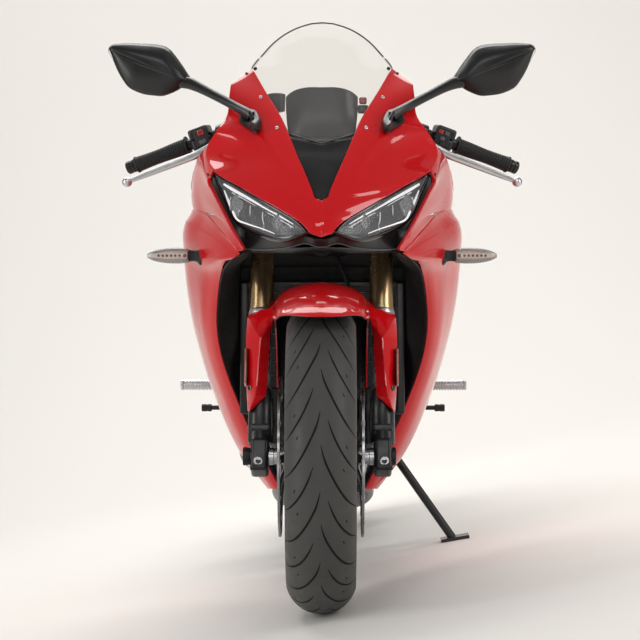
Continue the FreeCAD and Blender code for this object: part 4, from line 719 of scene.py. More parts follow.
# ------------------------------------------------------------------ nose
COWL = [
    ((0, 237.3, -92), (11.3, 233.5, -86)), ((0, 231, -93), (14.4, 228.9, -83)), ((0, 224, -90), (20.5, 222.8, -76)),
    ((0, 217, -84), (29.7, 216.6, -63)), ((0, 209, -74), (45, 207.5, -42)), ((0, 201, -62), (68, 194.4, -5)), ((6.6, 197.2, -55), (79, 188.2, 17)),
    ((8.5, 192, -47), (91, 181.4, 42)), ((14.5, 177, -24), (107.3, 171.5, 84)), ((23, 158, 10), (114.8, 147, 146)),
    ((32.5, 135, 55), (106.6, 133, 128)), ((40.5, 117, 95), (94.5, 115, 144)), ((53.5, 96, 145), (92.8, 99, 158)),
    ((69.5, 68.5, 215), (91, 84.5, 185)),
]
COWL_G = [span(a, b, 7, 1.45) for a, b in COWL]
cowl = refine(COWL_G, 6, 5)
# soft ridges from the mirror feet toward the lamps, and a shallow hollow inside of each
for i in range(cowl.shape[0]):
    for j in range(cowl.shape[1]):
        x, y, z = cowl[i, j]
        k = 2160.0 / (4000.0 + y)
        h, row = x * k, 289 - (z - 600) * k
        # the ridge line in the front view runs from (61, 133) to (39, 166)
        t = (row - 133) / 33.0
        if -0.4 < t < 1.5:
            hx = 61 - 22 * t
            w = max(0.0, 1 - abs(t - 0.5) / 1.0)
            cowl[i, j, 1] -= 2.2 * w * math.exp(-((h - hx) / 6.5) ** 2)
            cowl[i, j, 1] += 2.0 * w * math.exp(-((h - hx - 12) / 7.0) ** 2)
weld("cowl_shell", [cowl, flip(cowl)], RED, 3.5, slot="red_paint", repl="front_cowl")

SCREEN = [((0, 143.2, 42), (33.5, 133, 64)), ((0, 125, 72), (41, 117.5, 97)), ((0, 105, 108), (53.8, 96.5, 146)), ((0, 80, 162), (69.8, 68, 217)),
          ((0, 60, 205), (59, 54.5, 246)), ((0, 43, 246), (46, 41, 270)), ((0, 31, 280), (27.5, 29.3, 292)), ((0, 22.9, 306), (11, 23.9, 307))]
scr = [span(a, b, 6, 2.0) for a, b in SCREEN]
scr = shift(refine([[(-x, y, z) for x, y, z in r[:0:-1]] + list(r) for r in scr], 6, 4), 0, 6.0, 0)
screen_o = weld("screen_sheet", [scr], SCREENG, 3.0, slot="screen_glass", repl="windscreen", bevel=0)
edge = np.vstack([scr[::-1, 0], scr[0, 1:], scr[1:, -1]])
n_low = scr.shape[0] // 2 + 2
low = np.vstack([scr[:n_low, 0][::-1], scr[0, 1:], scr[1:n_low, -1]])
sweep("screen_edge_low", low + np.array([0, -1.6, 0]), 1.5, GREYP, segs=8, slot="screen_glass")
top = np.vstack([scr[n_low:, 0], scr[-1, 1:-1], scr[n_low:, -1][::-1]])
sweep("screen_edge_top", top + np.array([0, -0.4, 0]), 1.5, BLACK, segs=8, slot="screen_glass")

VPANEL = [((0, 200, -60), (2.5, 199.2, -59)), ((0, 192, -47), (8.3, 192, -44)), ((0, 177, -24), (14.4, 177, -20)), ((0, 158, 8), (23, 158, 12)), ((0, 150.5, 22), (27, 150.0, 28)), ((0, 144.6, 32), (32.8, 137.2, 53))]
vp = [span(a, b, 5, 1.6) for a, b in VPANEL]
vpan = shift(refine([[(-x, y, z) for x, y, z in r[:0:-1]] + list(r) for r in vp], 5, 3), 0, 2.5, 0)
weld("nose_blade", [vpan], BLACK, 3.0, slot="black_plastic", repl="nose_trim")
# a dark shelf inside, between the blade and the instruments
shelf = np.array([[fp(x, 141 - 1.0 * i, 60 + 14 * i) for x in np.linspace(-30 - 2 * i, 30 + 2 * i, 9)] for i in range(9)])
weld("nose_shelf", [shift(shelf, 0, 6, 0)], BLACKM, 2.0, slot="black_plastic", bevel=0)

# lamps
LAMP = [((16.5, 231, -70), (29, 236, -60)), ((24, 222.6, -58), (45, 236.8, -38)), ((45.5, 209.6, -30), (62.5, 231, -8)), ((68, 197, 8), (75, 225, 16)), ((90, 184.4, 52), (88, 215, 44)), ((105.5, 175.5, 88), (96, 196, 72))]
LAMP_G = [[fp(mixf(a[0], b[0], t), mixf(a[1], b[1], t), mixf(a[2], b[2], t) - 6 * math.sin(math.pi * t)) for t in (0, 0.33, 0.67, 1)] for a, b in LAMP]
lens = refine(LAMP_G, 6, 5)
RIM = [(16.5, 231, -70), (24, 222.6, -58), (45.5, 209.6, -30), (68, 197, 8), (90, 184.4, 52), (105.5, 175.5, 88), (96, 196, 72), (88, 215, 44), (75, 225, 16), (62.5, 231, -8), (45, 236.8, -38), (29, 236, -60)]


def grow(pts, d):
    """The loop of front points moved d rows outward in the front view."""
    n = len(pts)
    area = sum(pts[i][0] * pts[(i + 1) % n][1] - pts[(i + 1) % n][0] * pts[i][1] for i in range(n))
    sg = 1 if area > 0 else -1
    out = []
    for i in range(n):
        a, b, c = pts[i - 1], pts[i], pts[(i + 1) % n]
        e1 = np.array([b[0] - a[0], b[1] - a[1]])
        e2 = np.array([c[0] - b[0], c[1] - b[1]])
        n1 = np.array([e1[1], -e1[0]]) / np.linalg.norm(e1) * sg
        n2 = np.array([e2[1], -e2[0]]) / np.linalg.norm(e2) * sg
        m = n1 + n2
        m = m / max(np.linalg.norm(m), 0.5)
        out.append((b[0] + m[0] * d, b[1] + m[1] * d, b[2]))
    return out


LAMPR = surface("lamp_bowl", (0.20, 0.20, 0.205), 1.0, 0.30, 0.10, 0.10, 240, 0.55, 420, 0.0012)


for s, tag in ((1, "l"), (-1, "r")):
    weld("lamp_lens_" + tag, [lens if s > 0 else flip(lens)], LAMPG, 2.2, slot="lamp_glass", repl="headlamps", bevel=0)
    lp = [shift(pxline(grow(RIM, d)), 0, dy, 0) for d, dy in ((5.0, 14), (3.2, 4), (1.2, 1.5), (-0.8, 2.2), (-2.0, 6.0))]
    rings("lamp_bezel_" + tag, lp, BLACKG, slot="black_plastic", nr=2, nc=4, cap=False, side=s)
    lp = [shift(pxline(grow(RIM, d)), 0, dy, 0) for d, dy in ((-2.0, 6.0), (-3.0, 20), (-4.0, 34), (-9, 40))]
    rings("lamp_bucket_" + tag, lp, SMOKE, slot="lamp_glass", nr=3, nc=4, cap=True, side=s)

    def P3(h, row, y):
        x, y_, z = fp(h, row, y)
        return (s * x, y_, z)

    # round bowl with its bulb shield, and the faceted bowl beyond it
    c1 = P3(37.5, 223.5, -24)
    turned("lamp_bowl_a_" + tag, [(-8, 20.5), (-9.5, 19), (-8, 17.5), (2, 15.5), (10, 11), (14, 5), (15, 0.01)], c1, (0, 1, 0), LAMPR, slot="lamp_glass", segs=40)
    turned("lamp_eye_a_" + tag, [(-6, 0.01), (-5.5, 4), (-3, 7.5), (1, 9), (4, 9), (4, 0.01)], c1, (0, 1, 0), REFLECT, slot="lamp_glass", segs=32)
    c2 = P3(79, 205.5, 50)
    turned("lamp_bowl_b_" + tag, [(-8, 25), (-9, 23.5), (-6, 21), (3, 17), (9, 11), (12, 5), (12.5, 0.01)], c2, (0, 1, 0), LAMPR, slot="lamp_glass", segs=9, sharp=20)
    turned("lamp_eye_b_" + tag, [(-7, 0.01), (-6.5, 3), (-4, 6), (3, 7), (3, 0.01)], c2, (0, 1, 0), REFLECT, slot="lamp_glass", segs=24)
    bar = np.array([P3(97.6, 184.2, 71), P3(89.6, 189.1, 54.5), P3(74.6, 197.3, 25.5), P3(59.6, 205.8, -0.5), P3(47.6, 212.6, -20.5), P3(36, 219.3, -41.5), P3(28, 224.1, -53)])
    sweep("lamp_bar_" + tag, bar, [2.2, 3.0, 2.8, 2.4, 1.9, 1.4, 0.8], LIGHTBAR, slot="lamp_glass", smooth=5, segs=12, sq=0.6)
    sweep("lamp_bar_low_" + tag, bar[1:] + np.array([0, 2.0, -6.2]), 0.9, FAINTBAR, slot="lamp_glass", smooth=5, segs=8)
    sweep("lamp_bar_sill_" + tag, bar[1:6] + np.array([0, 4.0, -9.6]), 1.6, DKMETAL, slot="lamp_glass", smooth=5, segs=8)
    rim2 = np.array([P3(97.2, 190.5, 70), P3(93.4, 200, 60), P3(88.8, 211, 44), P3(84.2, 219.3, 28), P3(73.4, 224.0, 8), P3(60, 228.4, -12), P3(47, 233.4, -34)])
    sweep("lamp_line_" + tag, rim2, [1.2, 2.2, 2.2, 2.0, 1.4, 1.1, 0.7], LIGHTBAR, slot="lamp_glass", smooth=5, segs=10)
    rib = np.array([P3(68, 200, 24), P3(69.5, 212, 26), P3(67, 224, 14)])
    sweep("lamp_rib_" + tag, rib, 2.2, SMOKE, slot="lamp_glass", smooth=5, segs=10)
    ARCS = (((58, 208, 2), (58.6, 219, -2), (55, 229, -10), (48.5, 235.5, -20)), ((56, 210, 0), (56.4, 220, -4), (58.5, 232, -8), (60, 236, -6)), ((44.5, 214, -26), (45.4, 222, -28), (41, 231.5, -32)),
            ((71, 205, 24), (71.4, 211, 24), (71, 217, 22)), ((90.5, 197, 58), (92, 204, 58), (89, 212, 52)), ((33.5, 223.5, -44), (30.6, 227.5, -46), (33, 231, -44)), ((84, 199, 48), (81, 206, 44), (83, 212, 42)))
    for q, pts in enumerate(ARCS):
        sweep("lamp_arc%d_%s" % (q, tag), np.array([P3(*v) for v in pts]), 0.8 if q else 1.1, FAINTBAR, slot="lamp_glass", smooth=5, segs=8)

CHINBAR = [((4, 240, -66), (3, 247, -52)), ((16, 236.5, -58), (15, 243.6, -46)), ((31, 239, -48), (30, 247, -30)), ((46, 239.5, -28), (45, 249, -8)), ((62.5, 235, 2), (60, 249.8, 16)), ((76.5, 227.5, 28), (75.3, 249, 34))]
chin = [[fp(mixf(a[0], b[0], t), mixf(a[1], b[1], t), mixf(a[2], b[2], t)) for t in (0, 0.5, 1)] for a, b in CHINBAR]
chin_c = [[(-x, y, z) for x, y, z in q] for q in chin[::-1]] + chin
chin_g = refine(chin_c, 6, 4)
weld("chin_lip", [chin_g], BLACK, 3.0, slot="black_plastic")
low = shift(chin_g[:, -1], 0, -1.2, 0.2)
sweep("chin_lip_line", low, 1.1, GREYP, segs=8, slot="black_plastic")
# the bezel between lamp, chin and cheek
BEZ = [((104.5, 175.5, 92), (115, 173, 94)), ((97, 190, 80), (110, 188, 84)), ((92, 204, 64), (103, 202.5, 68)), ((86, 218, 42), (96, 217, 50)), ((78, 226, 30), (90, 228, 36)), ((74.5, 238, 30), (84, 240, 20)), ((73.5, 249.5, 34), (78, 249.8, 8))]
bez = refine([[fp(mixf(a[0], b[0], t), mixf(a[1], b[1], t), mixf(a[2], b[2], t) + 3.0) for t in (0, 0.5, 1)] for a, b in BEZ], 5, 3)
weld("lamp_side_bezel", [bez, flip(bez)], BLACK, 2.0, slot="black_plastic", bevel=0)

# ------------------------------------------------------------------ side panels
def side_pts(front, rear):
    return [fp(*p) for p in front] + [tuple(p) for p in rear]


CHEEK = [
    side_pts([(108.6, 171, 92), (110.6, 164, 112), (113, 155, 134), (115.3, 148, 152)], [(226, 215, 856), (240, 300, 808), (234, 390, 778), (214, 500, 782)]),
    side_pts([(112.5, 181, 80), (116.5, 174, 120), (121.5, 168, 175), (126.8, 165, 232)], [(256, 290, 800), (255, 350, 780), (247, 430, 774), (226, 520, 776)]),
    side_pts([(106.8, 194, 64), (113, 190.5, 110), (121.8, 187, 180), (130, 184, 262)], [(260, 315, 788), (260, 375, 768), (252, 450, 765), (232, 535, 769)]),
    side_pts([(99.5, 209, 46), (109, 205, 100), (120, 201, 180), (130.6, 199, 272)], [(260, 325, 774), (259, 385, 761), (252, 460, 760), (236, 545, 762)]),
    side_pts([(91.5, 224.5, 27), (102, 218, 80), (115.5, 212, 165), (128.8, 210, 268)], [(257, 328, 757), (256, 388, 755), (250, 465, 754), (238, 552, 754)]),
]
cheek = refine(CHEEK, 8, 6)
CHIN = [
    [fp(91.5, 224.5, 27), fp(98, 220, 62), fp(106, 216, 112), fp(114, 214, 160)],
    [fp(87.8, 231, 18), fp(93, 228.8, 45), fp(99.2, 226.6, 78), fp(105, 225, 112)],
    [fp(83.2, 239, 6), fp(87, 238, 24), fp(91.8, 237, 46), fp(96, 236, 68)],
    [fp(77, 249.5, -8), fp(79.5, 250.6, 2), fp(82.5, 251, 12), fp(85.5, 251, 20)],
]
ctip = refine(CHIN, 8, 8)
for s, tag in ((1, "l"), (-1, "r")):
    f = (lambda g: g) if s > 0 else flip
    weld("cheek_" + tag, [f(cheek)], RED, 4.0, slot="red_paint", repl="upper_side_panels", bevel=1.3)
    weld("cheek_tip_" + tag, [f(ctip)], RED, 4.0, slot="red_paint", bevel=1.3)
    # the edge of the cheek panel stands proud as a rounded rim
    rimp = np.vstack([cheek[6:, 0], ctip[1:, 0]])
    sweep("cheek_rim_" + tag, f(rimp + np.array([1.2, -0.6, 0])), 2.6, RED, slot="red_paint", segs=10)

MAIN = [
    side_pts([(83, 253, 14), (93, 247, 52), (106, 238, 110), (121, 229, 190), (136.5, 221.5, 285)], [(272, 350, 735), (268, 440, 742), (246, 580, 750)]),
    side_pts([(87, 257, 30), (97, 256, 66), (110, 252.5, 125), (126, 244, 210), (139.4, 233, 305)], [(277, 370, 708), (272, 460, 712), (244, 610, 718)]),
    side_pts([(96, 262, 88), (104, 262.5, 110), (114, 262, 155), (128, 257, 235), (138.8, 250, 325)], [(277, 395, 673), (272, 480, 675), (242, 640, 678)]),
    side_pts([(100.8, 273, 155), (107, 273, 168), (115.5, 273, 200), (127.5, 272, 265), (137.3, 270, 345)], [(275, 415, 634), (270, 500, 634), (240, 670, 632)]),
    side_pts([(104.5, 298, 218), (109.5, 298, 224), (117, 298, 246), (126.5, 298, 300), (134.2, 298, 378)], [(271, 445, 580), (267, 530, 578), (238, 715, 570)]),
    side_pts([(105.6, 325, 262), (109.8, 325, 267), (116.5, 325, 285), (123.5, 325, 330), (129.3, 325, 402)], [(263, 470, 526), (260, 560, 522), (232, 755, 510)]),
    side_pts([(102.3, 350, 300), (106.2, 350, 304), (112.5, 350, 320), (118.3, 350, 358), (123, 350, 424)], [(252, 492, 474), (250, 585, 468), (229, 755, 455)]),
    side_pts([(95.2, 375, 334), (99.2, 375, 338), (105.5, 375, 352), (111, 375, 386), (115.5, 375, 444)], [(238, 510, 423), (236, 590, 416), (220, 735, 402)]),
    side_pts([(86.2, 398, 360), (90.4, 398, 364), (97, 398, 378), (102.5, 398, 408), (107, 398, 460)], [(222, 520, 376), (221, 595, 368), (211, 705, 356)]),
    side_pts([(74, 428, 390), (78.5, 428, 394), (85, 428, 406), (90.8, 428, 432), (95.2, 428, 474)], [(198, 535, 315), (198, 605, 306), (191, 700, 293)]),
    side_pts([(60.5, 455, 418), (65, 455, 422), (71.5, 455, 433), (77, 455, 455), (81, 455, 486)], [(169, 545, 260), (170, 615, 251), (166, 700, 240)]),
    side_pts([(50.5, 474, 438), (54.5, 474, 442), (59.5, 474, 452), (63.5, 474, 470), (66.8, 474, 496)], [(140, 556, 221), (141, 620, 213), (138, 695, 204)]),
    side_pts([(43.5, 489, 450), (46.5, 489, 453), (50, 489, 462), (53, 489, 478), (55.2, 489, 502)], [(116, 562, 190), (117, 625, 184), (115, 690, 178)]),
]
main_g = refine(MAIN, 7, 6)
SHO = [
    side_pts([(84.5, 249.8, 16), (96.5, 236.2, 66), (105.5, 225.4, 112), (115, 214.5, 165), (129.5, 209.5, 268)], [(259, 335, 760), (257, 400, 757), (247, 540, 757)]),
    side_pts([(83.6, 251.2, 15), (95.5, 240.2, 63), (106.5, 230.5, 116), (117.5, 221.5, 182), (131.5, 214.5, 280)], [(264, 342, 750), (262, 420, 751), (246, 560, 754)]),
    side_pts([(83, 253, 14), (93, 247, 52), (106, 238, 110), (121, 229, 190), (136.5, 221.5, 285)], [(272, 350, 735), (268, 440, 742), (246, 580, 750)]),
]
sho = refine(SHO, 5, 6)
# the leading edge turns in as a return toward the inner liner; its points are worked out here but not built
lead = np.array([r[0] for r in MAIN])
lead = cr(lead, 7)
ret = []
for i, p in enumerate(lead):
    t = i / (len(lead) - 1.0)
    w = 20 * min(1.0, t * 5)
    ret.append([p, p + np.array([-w * 0.25, 3, 0]), p + np.array([-w * 0.5, 14, 0]), p + np.array([-w * 0.6, 42, 0])])
ret = np.array(ret)
for s, tag in ((1, "left"), (-1, "right")):
    f = (lambda g: g) if s > 0 else flip
    weld("fairing_shoulder_" + tag, [f(sho)], RED, 3.0, slot="red_paint", bevel=0.6)
    ridge = sho[4, 4:26]
    weld("fairing_" + tag, [f(main_g)], RED, 4.0, slot="red_paint", repl="side_fairing_" + tag, bevel=1.3)
    weld("fairing_liner_" + tag, [f(inset(main_g, 13))], BLACKM, 2.0, slot="black_plastic", bevel=0)

# ------------------------------------------------------------------ turning front: fork, wheel, bars
ST = "steering"
for s, tag in ((1, "l"), (-1, "r")):
    axis = UP
    turned("fork_tube_" + tag, [(285, 22.6), (286, 24.2), (297, 24.2), (298, 22.6), (700, 22.6), (720, 22.6), (722, 20.2), (731, 20.2), (732, 19)], leg(0, s), axis, GOLD, ST, "fork_gold", segs=48)
    turned("fork_collar_" + tag, [(281, 18.8), (283, 25.2), (291, 25.6), (293, 24.4)], leg(0, s), axis, ALU, ST, "fork_gold", segs=48)
    turned("fork_cap_" + tag, [(731, 15.5), (732, 18.5), (735, 18.5), (736, 11), (745, 11), (746, 9)], leg(0, s), axis, ALU, ST, "fork_gold", segs=24)
    turned("fork_slider_" + tag, [(129, 17.5), (130, 18.8), (283, 18.8), (284, 17)], leg(0, s), axis, STEEL, ST, "black_metal", segs=40)
    # cast foot: tube body, axle clamp with its slit and a pinch bolt, lug for the caliper
    turned("fork_foot_" + tag, [(24, 21), (28, 23), (120, 23), (130, 21), (132, 18.5)], leg(0, s), axis, BLACK, ST, "black_metal", segs=40, repl="fork_bottoms")
    block("fork_clamp_" + tag, (33, 52, 62), (s * 114, 0, 288), BLACK, ST, "black_metal", rot=FORKM, bev=8, segs=4)
    block("fork_lug_" + tag, (9.6, 96, 74), leg(104, s, 62, -10.9), BLACK, ST, "black_metal", rot=FORKM, bev=4)
    turned("pinch_bolt_" + tag, [(-4, 8.6), (1.5, 8.6), (2.6, 7.4), (2.6, 5.0), (-1.0, 4.6), (-1.0, 0.01)], (s * 116, -30.5, 284), (0, -1, 0), STEEL, ST, "steel", segs=32)
    block("foot_step_" + tag, (36, 22, 14), leg(50, s, -12, 0), BLACK, ST, "black_metal", rot=FORKM, bev=4, segs=4)
    block("clamp_slit_" + tag, (34, 1.2, 20), leg(-24, s, -20, 0), BLACKM, ST, "black_metal", rot=FORKM, bev=0)
    turned("axle_end_" + tag, [(-7, 15), (0.5, 17), (6.2, 17), (7.4, 15.5), (7.4, 10.5), (1.5, 9.2), (1.5, 8.6)], (131 if s > 0 else -138, 0, 290), (s, 0, 0), DKMETAL, ST, "steel", segs=40)
turned("axle_bar", [(-137, 8.5), (-137, 12.5), (137, 12.5), (137, 8.5)], (0, 0, 290), (1, 0, 0), STEEL, ST, "steel", closed=True, repl="front_axle")
for s, tag in ((1, "l"), (-1, "r")):
    turned("axle_spacer_" + tag, [(65.5, 13), (65.5, 16), (72, 16), (73, 14.8), (88, 14.8), (89, 16), (96.5, 16), (96.5, 13)], (0, 0, 290), (s, 0, 0), STEEL, ST, "steel", segs=40)


def plate_outline(pts, t, n, side=1):
    return None


def yoke(name, t0, t1, mat, hole=None):
    base = [(-142, -30), (-134, -48), (-114, -56), (-98, -58), (-50, -42), (50, -42), (98, -58), (114, -56), (134, -48), (142, -30), (134, -10), (100, 4), (60, 18), (26, 32), (-26, 32), (-60, 18), (-100, 4), (-134, -10)]
    O = np.array([0, 27.3, 277.6])
    pts = [O + UP * t0 + np.array([x, 0, 0]) + BACK * y for x, y in base]
    return prism(name, [tuple(p) for p in pts], tuple(UP), t1 - t0, mat, ST, "black_metal", bev=3.0)


yoke("lower_clamp", 437, 467, BLACK)
yoke("upper_clamp", 644, 666, BLACK)
turned("stem_tube", [(432, 8.5), (432, 15), (684, 15), (684, 8.5)], (0, 27.3, 277.6), UP, STEEL, ST, "steel", closed=True, repl="lower_triple_clamp")
turned("stem_nut", [(666.2, 16), (666.2, 21), (680, 21), (682, 19), (682, 15.1)], (0, 27.3, 277.6), UP, ALU, ST, "aluminium", segs=6, repl="upper_triple_clamp", sharp=20)
for s in (1, -1):
    for k, tt in enumerate((452, 655)):
        for m, dx in enumerate((-12, 12)):
            p = leg(tt, s, -26 if k else -28, dx)
            turned("clamp_bolt_%d%d%s" % (k, m, "l" if s > 0 else "r"), [(-3, 5.4), (2, 5.4), (3, 4.4), (3, 2.8), (1, 2.6), (1, 0.01)], p, -BACK, STEEL, ST, "steel", segs=18)

GI, GO = np.array([264.4, 300, 886.5]), np.array([391.5, 335, 841.8])
BDv = (GO - GI) / np.linalg.norm(GO - GI)


def bar_at(x, s=1):
    p = GI + BDv * ((x - GI[0]) / BDv[0])
    return np.array([s * p[0], p[1], p[2]])


for s, tag in ((1, "l"), (-1, "r")):
    bd = BDv * np.array([s, 1, 1])
    turned("clip_ring_" + tag, [(682, 23), (682, 30), (684, 31), (714, 31), (716, 30), (716, 23)], leg(0, s), UP, BLACK, ST, "black_metal", segs=48, repl="clip_on_bars")
    sweep("clip_arm_" + tag, [leg(699, s, -12, 10), bar_at(158, s)], 14, BLACK, ST, "black_metal", segs=24)
    turned("bar_tube_" + tag, [(-118.4 / BDv[0], 11), (113.6 / BDv[0], 11)], bar_at(264.4, s), bd, BLACK, ST, "black_metal", segs=32)
    c = bar_at(375, s)
    turned("bar_end_" + tag, [(0, 11.5), (0.6, 13.0), (5, 13.0), (6, 11.8), (7.5, 11.8), (8.5, 13.0), (15, 13.0), (17.0, 11), (17.0, 4), (14, 3.5), (14, 0.01)], c, bd, BLACK, ST, "black_metal", segs=40)
    # ribbed grip with a waist and a flange
    L = 106.0 / BDv[0]
    prof = [(0, 12), (0, 19), (1.2, 19.2), (2.6, 19), (3.4, 16)]
    a = 5.0
    while a < L - 6:
        base = 14.2 + 0.8 * math.cos((a / L - 0.1) * 2 * math.pi)
        prof += [(a, base - 0.8), (a + 0.5, base + 0.7), (a + 2.4, base + 0.7), (a + 2.9, base - 0.8)]
        a += 4.6
    prof += [(L - 4, 15.2), (L - 3.6, 16.5), (L - 0.6, 16.5), (L, 15.6), (L, 12)]
    turned("grip_" + tag, prof, bar_at(266, s), bd, RUBBER, ST, "rubber", segs=40, repl="handlebar_grips")
    # switch housing in two halves round the bar
    zax = Vector(bd)
    xax = Vector((0, 1, 0))
    yax = zax.cross(xax).normalized()
    xax = yax.cross(zax).normalized()
    M = Matrix((xax, yax, zax)).transposed()
    mid = Vector(bar_at(238, s))
    upv = yax if yax.z > 0 else -yax
    block("switch_top_" + tag, (39, 21.5, 42), mid + Vector((0, -3, 4)) + upv * 11.2, BLACK, ST, "black_plastic", rot=M, bev=7, segs=5, repl="handlebar_controls")
    block("switch_low_" + tag, (39, 22.5, 42), mid + Vector((0, -3, 4)) - upv * 11.2, BLACK, ST, "black_plastic", rot=M, bev=7, segs=5)
    front = mid + Vector((0, -24, 4))
    block("switch_face_" + tag, (4, 34, 30), mid + Vector((0, -23.2, 4)), BLACKM, ST, "black_plastic", rot=M, bev=1.5)
    if s < 0:
        block("button_red", (5, 11, 13), mid + Vector((0, -25, 4)) + upv * 9 - zax * 1, REDLENS, ST, "red_lens", rot=M, bev=2.2, segs=4)
        block("button_low", (5, 9, 15), mid + Vector((0, -25, 4)) - upv * 9, GREYP, ST, "black_plastic", rot=M, bev=2.2, segs=4)
    else:
        for q, (a_, b_, m_) in enumerate(((9, 6, GREYP), (9, -7, REDLENS), (-3, 0, GREYP), (-14, 2, BLACKM))):
            block("button_%d" % q, (5, 8, 10), mid + Vector((0, -25, 4)) + upv * a_ + zax * b_, m_, ST, "black_plastic", rot=M, bev=2.0, segs=4)
    # perch clamp with the lever's pivot
    turned("perch_ring_" + tag, [(-9, 11.4), (-9, 16), (-8, 17), (8, 17), (9, 16), (9, 11.4)], bar_at(197, s), bd, BLACK, ST, "black_metal", segs=36)
    block("perch_arm_" + tag, (21, 44, 18), bar_at(197, s) + np.array([0, -33, -6]), BLACK, ST, "black_metal", bev=5, segs=4)
    turned("perch_pin_" + tag, [(-13, 5.5), (-12, 7), (12, 7), (13, 5.5)], (s * 199, 247, 889), (0.35 * s, 0, 1), STEEL, ST, "steel", segs=24)
    W = [(184, 246, 895.5), (200, 244, 888), (222, 247, 876.5), (243, 251, 866), (278, 255.5, 852), (312, 258, 839), (346, 260, 826), (368, 261.6, 817.5), (380, 262, 813)]
    hy = [7.5, 8, 7.6, 6.6, 5.8, 5.2, 4.8, 4.2, 3.8]
    hz = [7, 9, 8.8, 8, 7.2, 6.6, 5.8, 4.8, 4.2]
    R = []
    P_ = np.array(W, float)
    T_ = np.gradient(P_, axis=0)
    for p, t, a_, b_ in zip(P_, T_, hy, hz):
        t = t / np.linalg.norm(t)
        vv = np.array([0, 1.0, 0])
        uu = np.cross(vv, t)
        uu /= np.linalg.norm(uu)
        R.append([p + vv * a_ * math.copysign(abs(math.cos(w)) ** 0.75, math.cos(w)) + uu * b_ * math.copysign(abs(math.sin(w)) ** 0.75, math.sin(w)) for w in np.linspace(0, 2 * math.pi, 17)[:-1]])
    rings("lever_" + tag, R, ALU, ST, "aluminium", nr=4, nc=1, side=s, repl="hand_levers")
    pr = [(-10 * math.cos(w), 10 * math.sin(w)) for w in np.linspace(0.02, math.pi - 0.02, 15)]
    turned("lever_ball_" + tag, pr, (s * 384.5, 262, 811), (s, 0, 0), ALU, ST, "aluminium", segs=32)
# master cylinder on the throttle side, clutch body on the other, brake fluid cup
block("master_body", (46, 24, 22), (-168, 250, 898), BLACK, ST, "black_metal", rot=(0, 19, 0), bev=6, segs=4)
block("clutch_body", (34, 22, 18), (170, 252, 899), BLACK, ST, "black_metal", rot=(0, -19, 0), bev=5, segs=4)
turned("fluid_cup", [(0, 14), (1, 17), (24, 18), (25, 18), (25.5, 18), (33, 18), (34, 16.5), (34, 0.01)], (-90, 262, 950), (0, 0.1, 1), BLACK, ST, "black_plastic", segs=40, repl="brake_reservoir")
sweep("fluid_arm", [(-90, 262, 955), (-100, 268, 932)], 5, BLACK, ST, "black_plastic", segs=16)

# wheel
FC = Vector((0, 0, 290))
FW = "front_wheel"


REFRED = surface("reflector_lens", (0.50, 0.07, 0.02), 0.0, 0.25, 0.05, 0.06, 200, 0.4, 900, 0.0003, coat=0.6)
# near-black for the tread cuts: the colour is painted shade of the groove recesses
GROOVE_SHADE = surface("tyre_groove_painted_shade", (0.006, 0.006, 0.006), 0.0, 0.8, 0.05, 0.1, 60, 0.1, 900, 0.0001, spec=0.2)


def tyre_mesh(name, c, R, W, sh_r, bead_x, fl, body, slot, repl, n):
    """The tyre's skin as a smooth turned shape, with n repeats of its curved groove pattern on each side, laid on it as
    flat near-black strips whose dark is painted shade of the groove recesses.
    """
    rc = (W * W + (R - sh_r) ** 2) / (2 * (R - sh_r))
    aw = math.asin(min(0.999, W / rc))
    cross = [(rc * math.sin(aw * (1 - 2 * i / 40)), R - rc + rc * math.cos(aw * (1 - 2 * i / 40))) for i in range(41)]
    wall = [(bead_x, fl - 8), (bead_x, fl + 0.6), (W - 9.5, fl + 3.5), (W - 6.5, fl + 7), (W - 3.0, fl + 13), (W - 0.8, sh_r - 5)]
    prof = wall + cross + [(-x, r) for x, r in wall[::-1]]
    turned(name, prof, c, (1, 0, 0), TYRE, body, slot, segs=300, closed=True, repl=repl, sharp=60)
    step = 2 * math.pi / n
    V, F = [], []

    def ribbon(side, pts, phase, width):
        """pts: (share of the half width, share of a repeat) along the groove, going outward and back."""
        P_ = cr([(u * W, v * step * R) for u, v in pts], 7)
        T_ = np.gradient(P_, axis=0)
        T_ /= np.linalg.norm(T_, axis=1)[:, None]
        N_ = np.column_stack([-T_[:, 1], T_[:, 0]])
        m = len(P_)
        for i in range(m):
            e = min(1.0, 0.25 + 3.2 * min(i, m - 1 - i) / (m - 1.0))
            for j in (-1, 0, 1):
                q = P_[i] + N_[i] * width * 0.5 * e * j
                x = min(W - 0.2, q[0])
                r = R - rc + math.sqrt(max(1.0, rc * rc - x * x)) + 0.32
                t = phase - q[1] / R
                V.append((c[0] + side * x, c[1] + r * math.sin(t), c[2] + r * math.cos(t)))
        o = len(V) - 3 * m
        for i in range(m - 1):
            for j in (0, 1):
                f = (o + 3 * i + j, o + 3 * i + j + 1, o + 3 * i + j + 4, o + 3 * i + j + 3)
                F.append(f if side < 0 else f[::-1])

    long_g = [(0.01, 0), (0.10, 0.17), (0.29, 0.37), (0.52, 0.57), (0.72, 0.72), (0.985, 0.88)]
    short_g = [(0.20, 0), (0.36, 0.20), (0.58, 0.40), (0.76, 0.53), (0.96, 0.66)]
    for side in (1, -1):
        for k in range(n):
            ph = (k + (0.42 if side < 0 else 0.0) + 0.05) * step
            ribbon(side, long_g, ph, 3.6)
            ribbon(side, short_g, ph - 0.69 * step, 3.3)
            for u, v in ((0.62, 0.30), (0.70, 1.00)):
                ribbon(side, [(u, 0), (u + 0.035, 0.05)], ph - v * step, 1.8)
    # the strips lie flat on the skin; their near-black colour is painted shade in place of real groove depth
    add(name + "_groove_shade", V, F, GROOVE_SHADE, body, slot, sharp=80)


tyre_mesh("tyre_front", FC, 290.0, 63.4, 243.0, 43.8, 223.0, FW, "tyre", "front_tyre", 13)


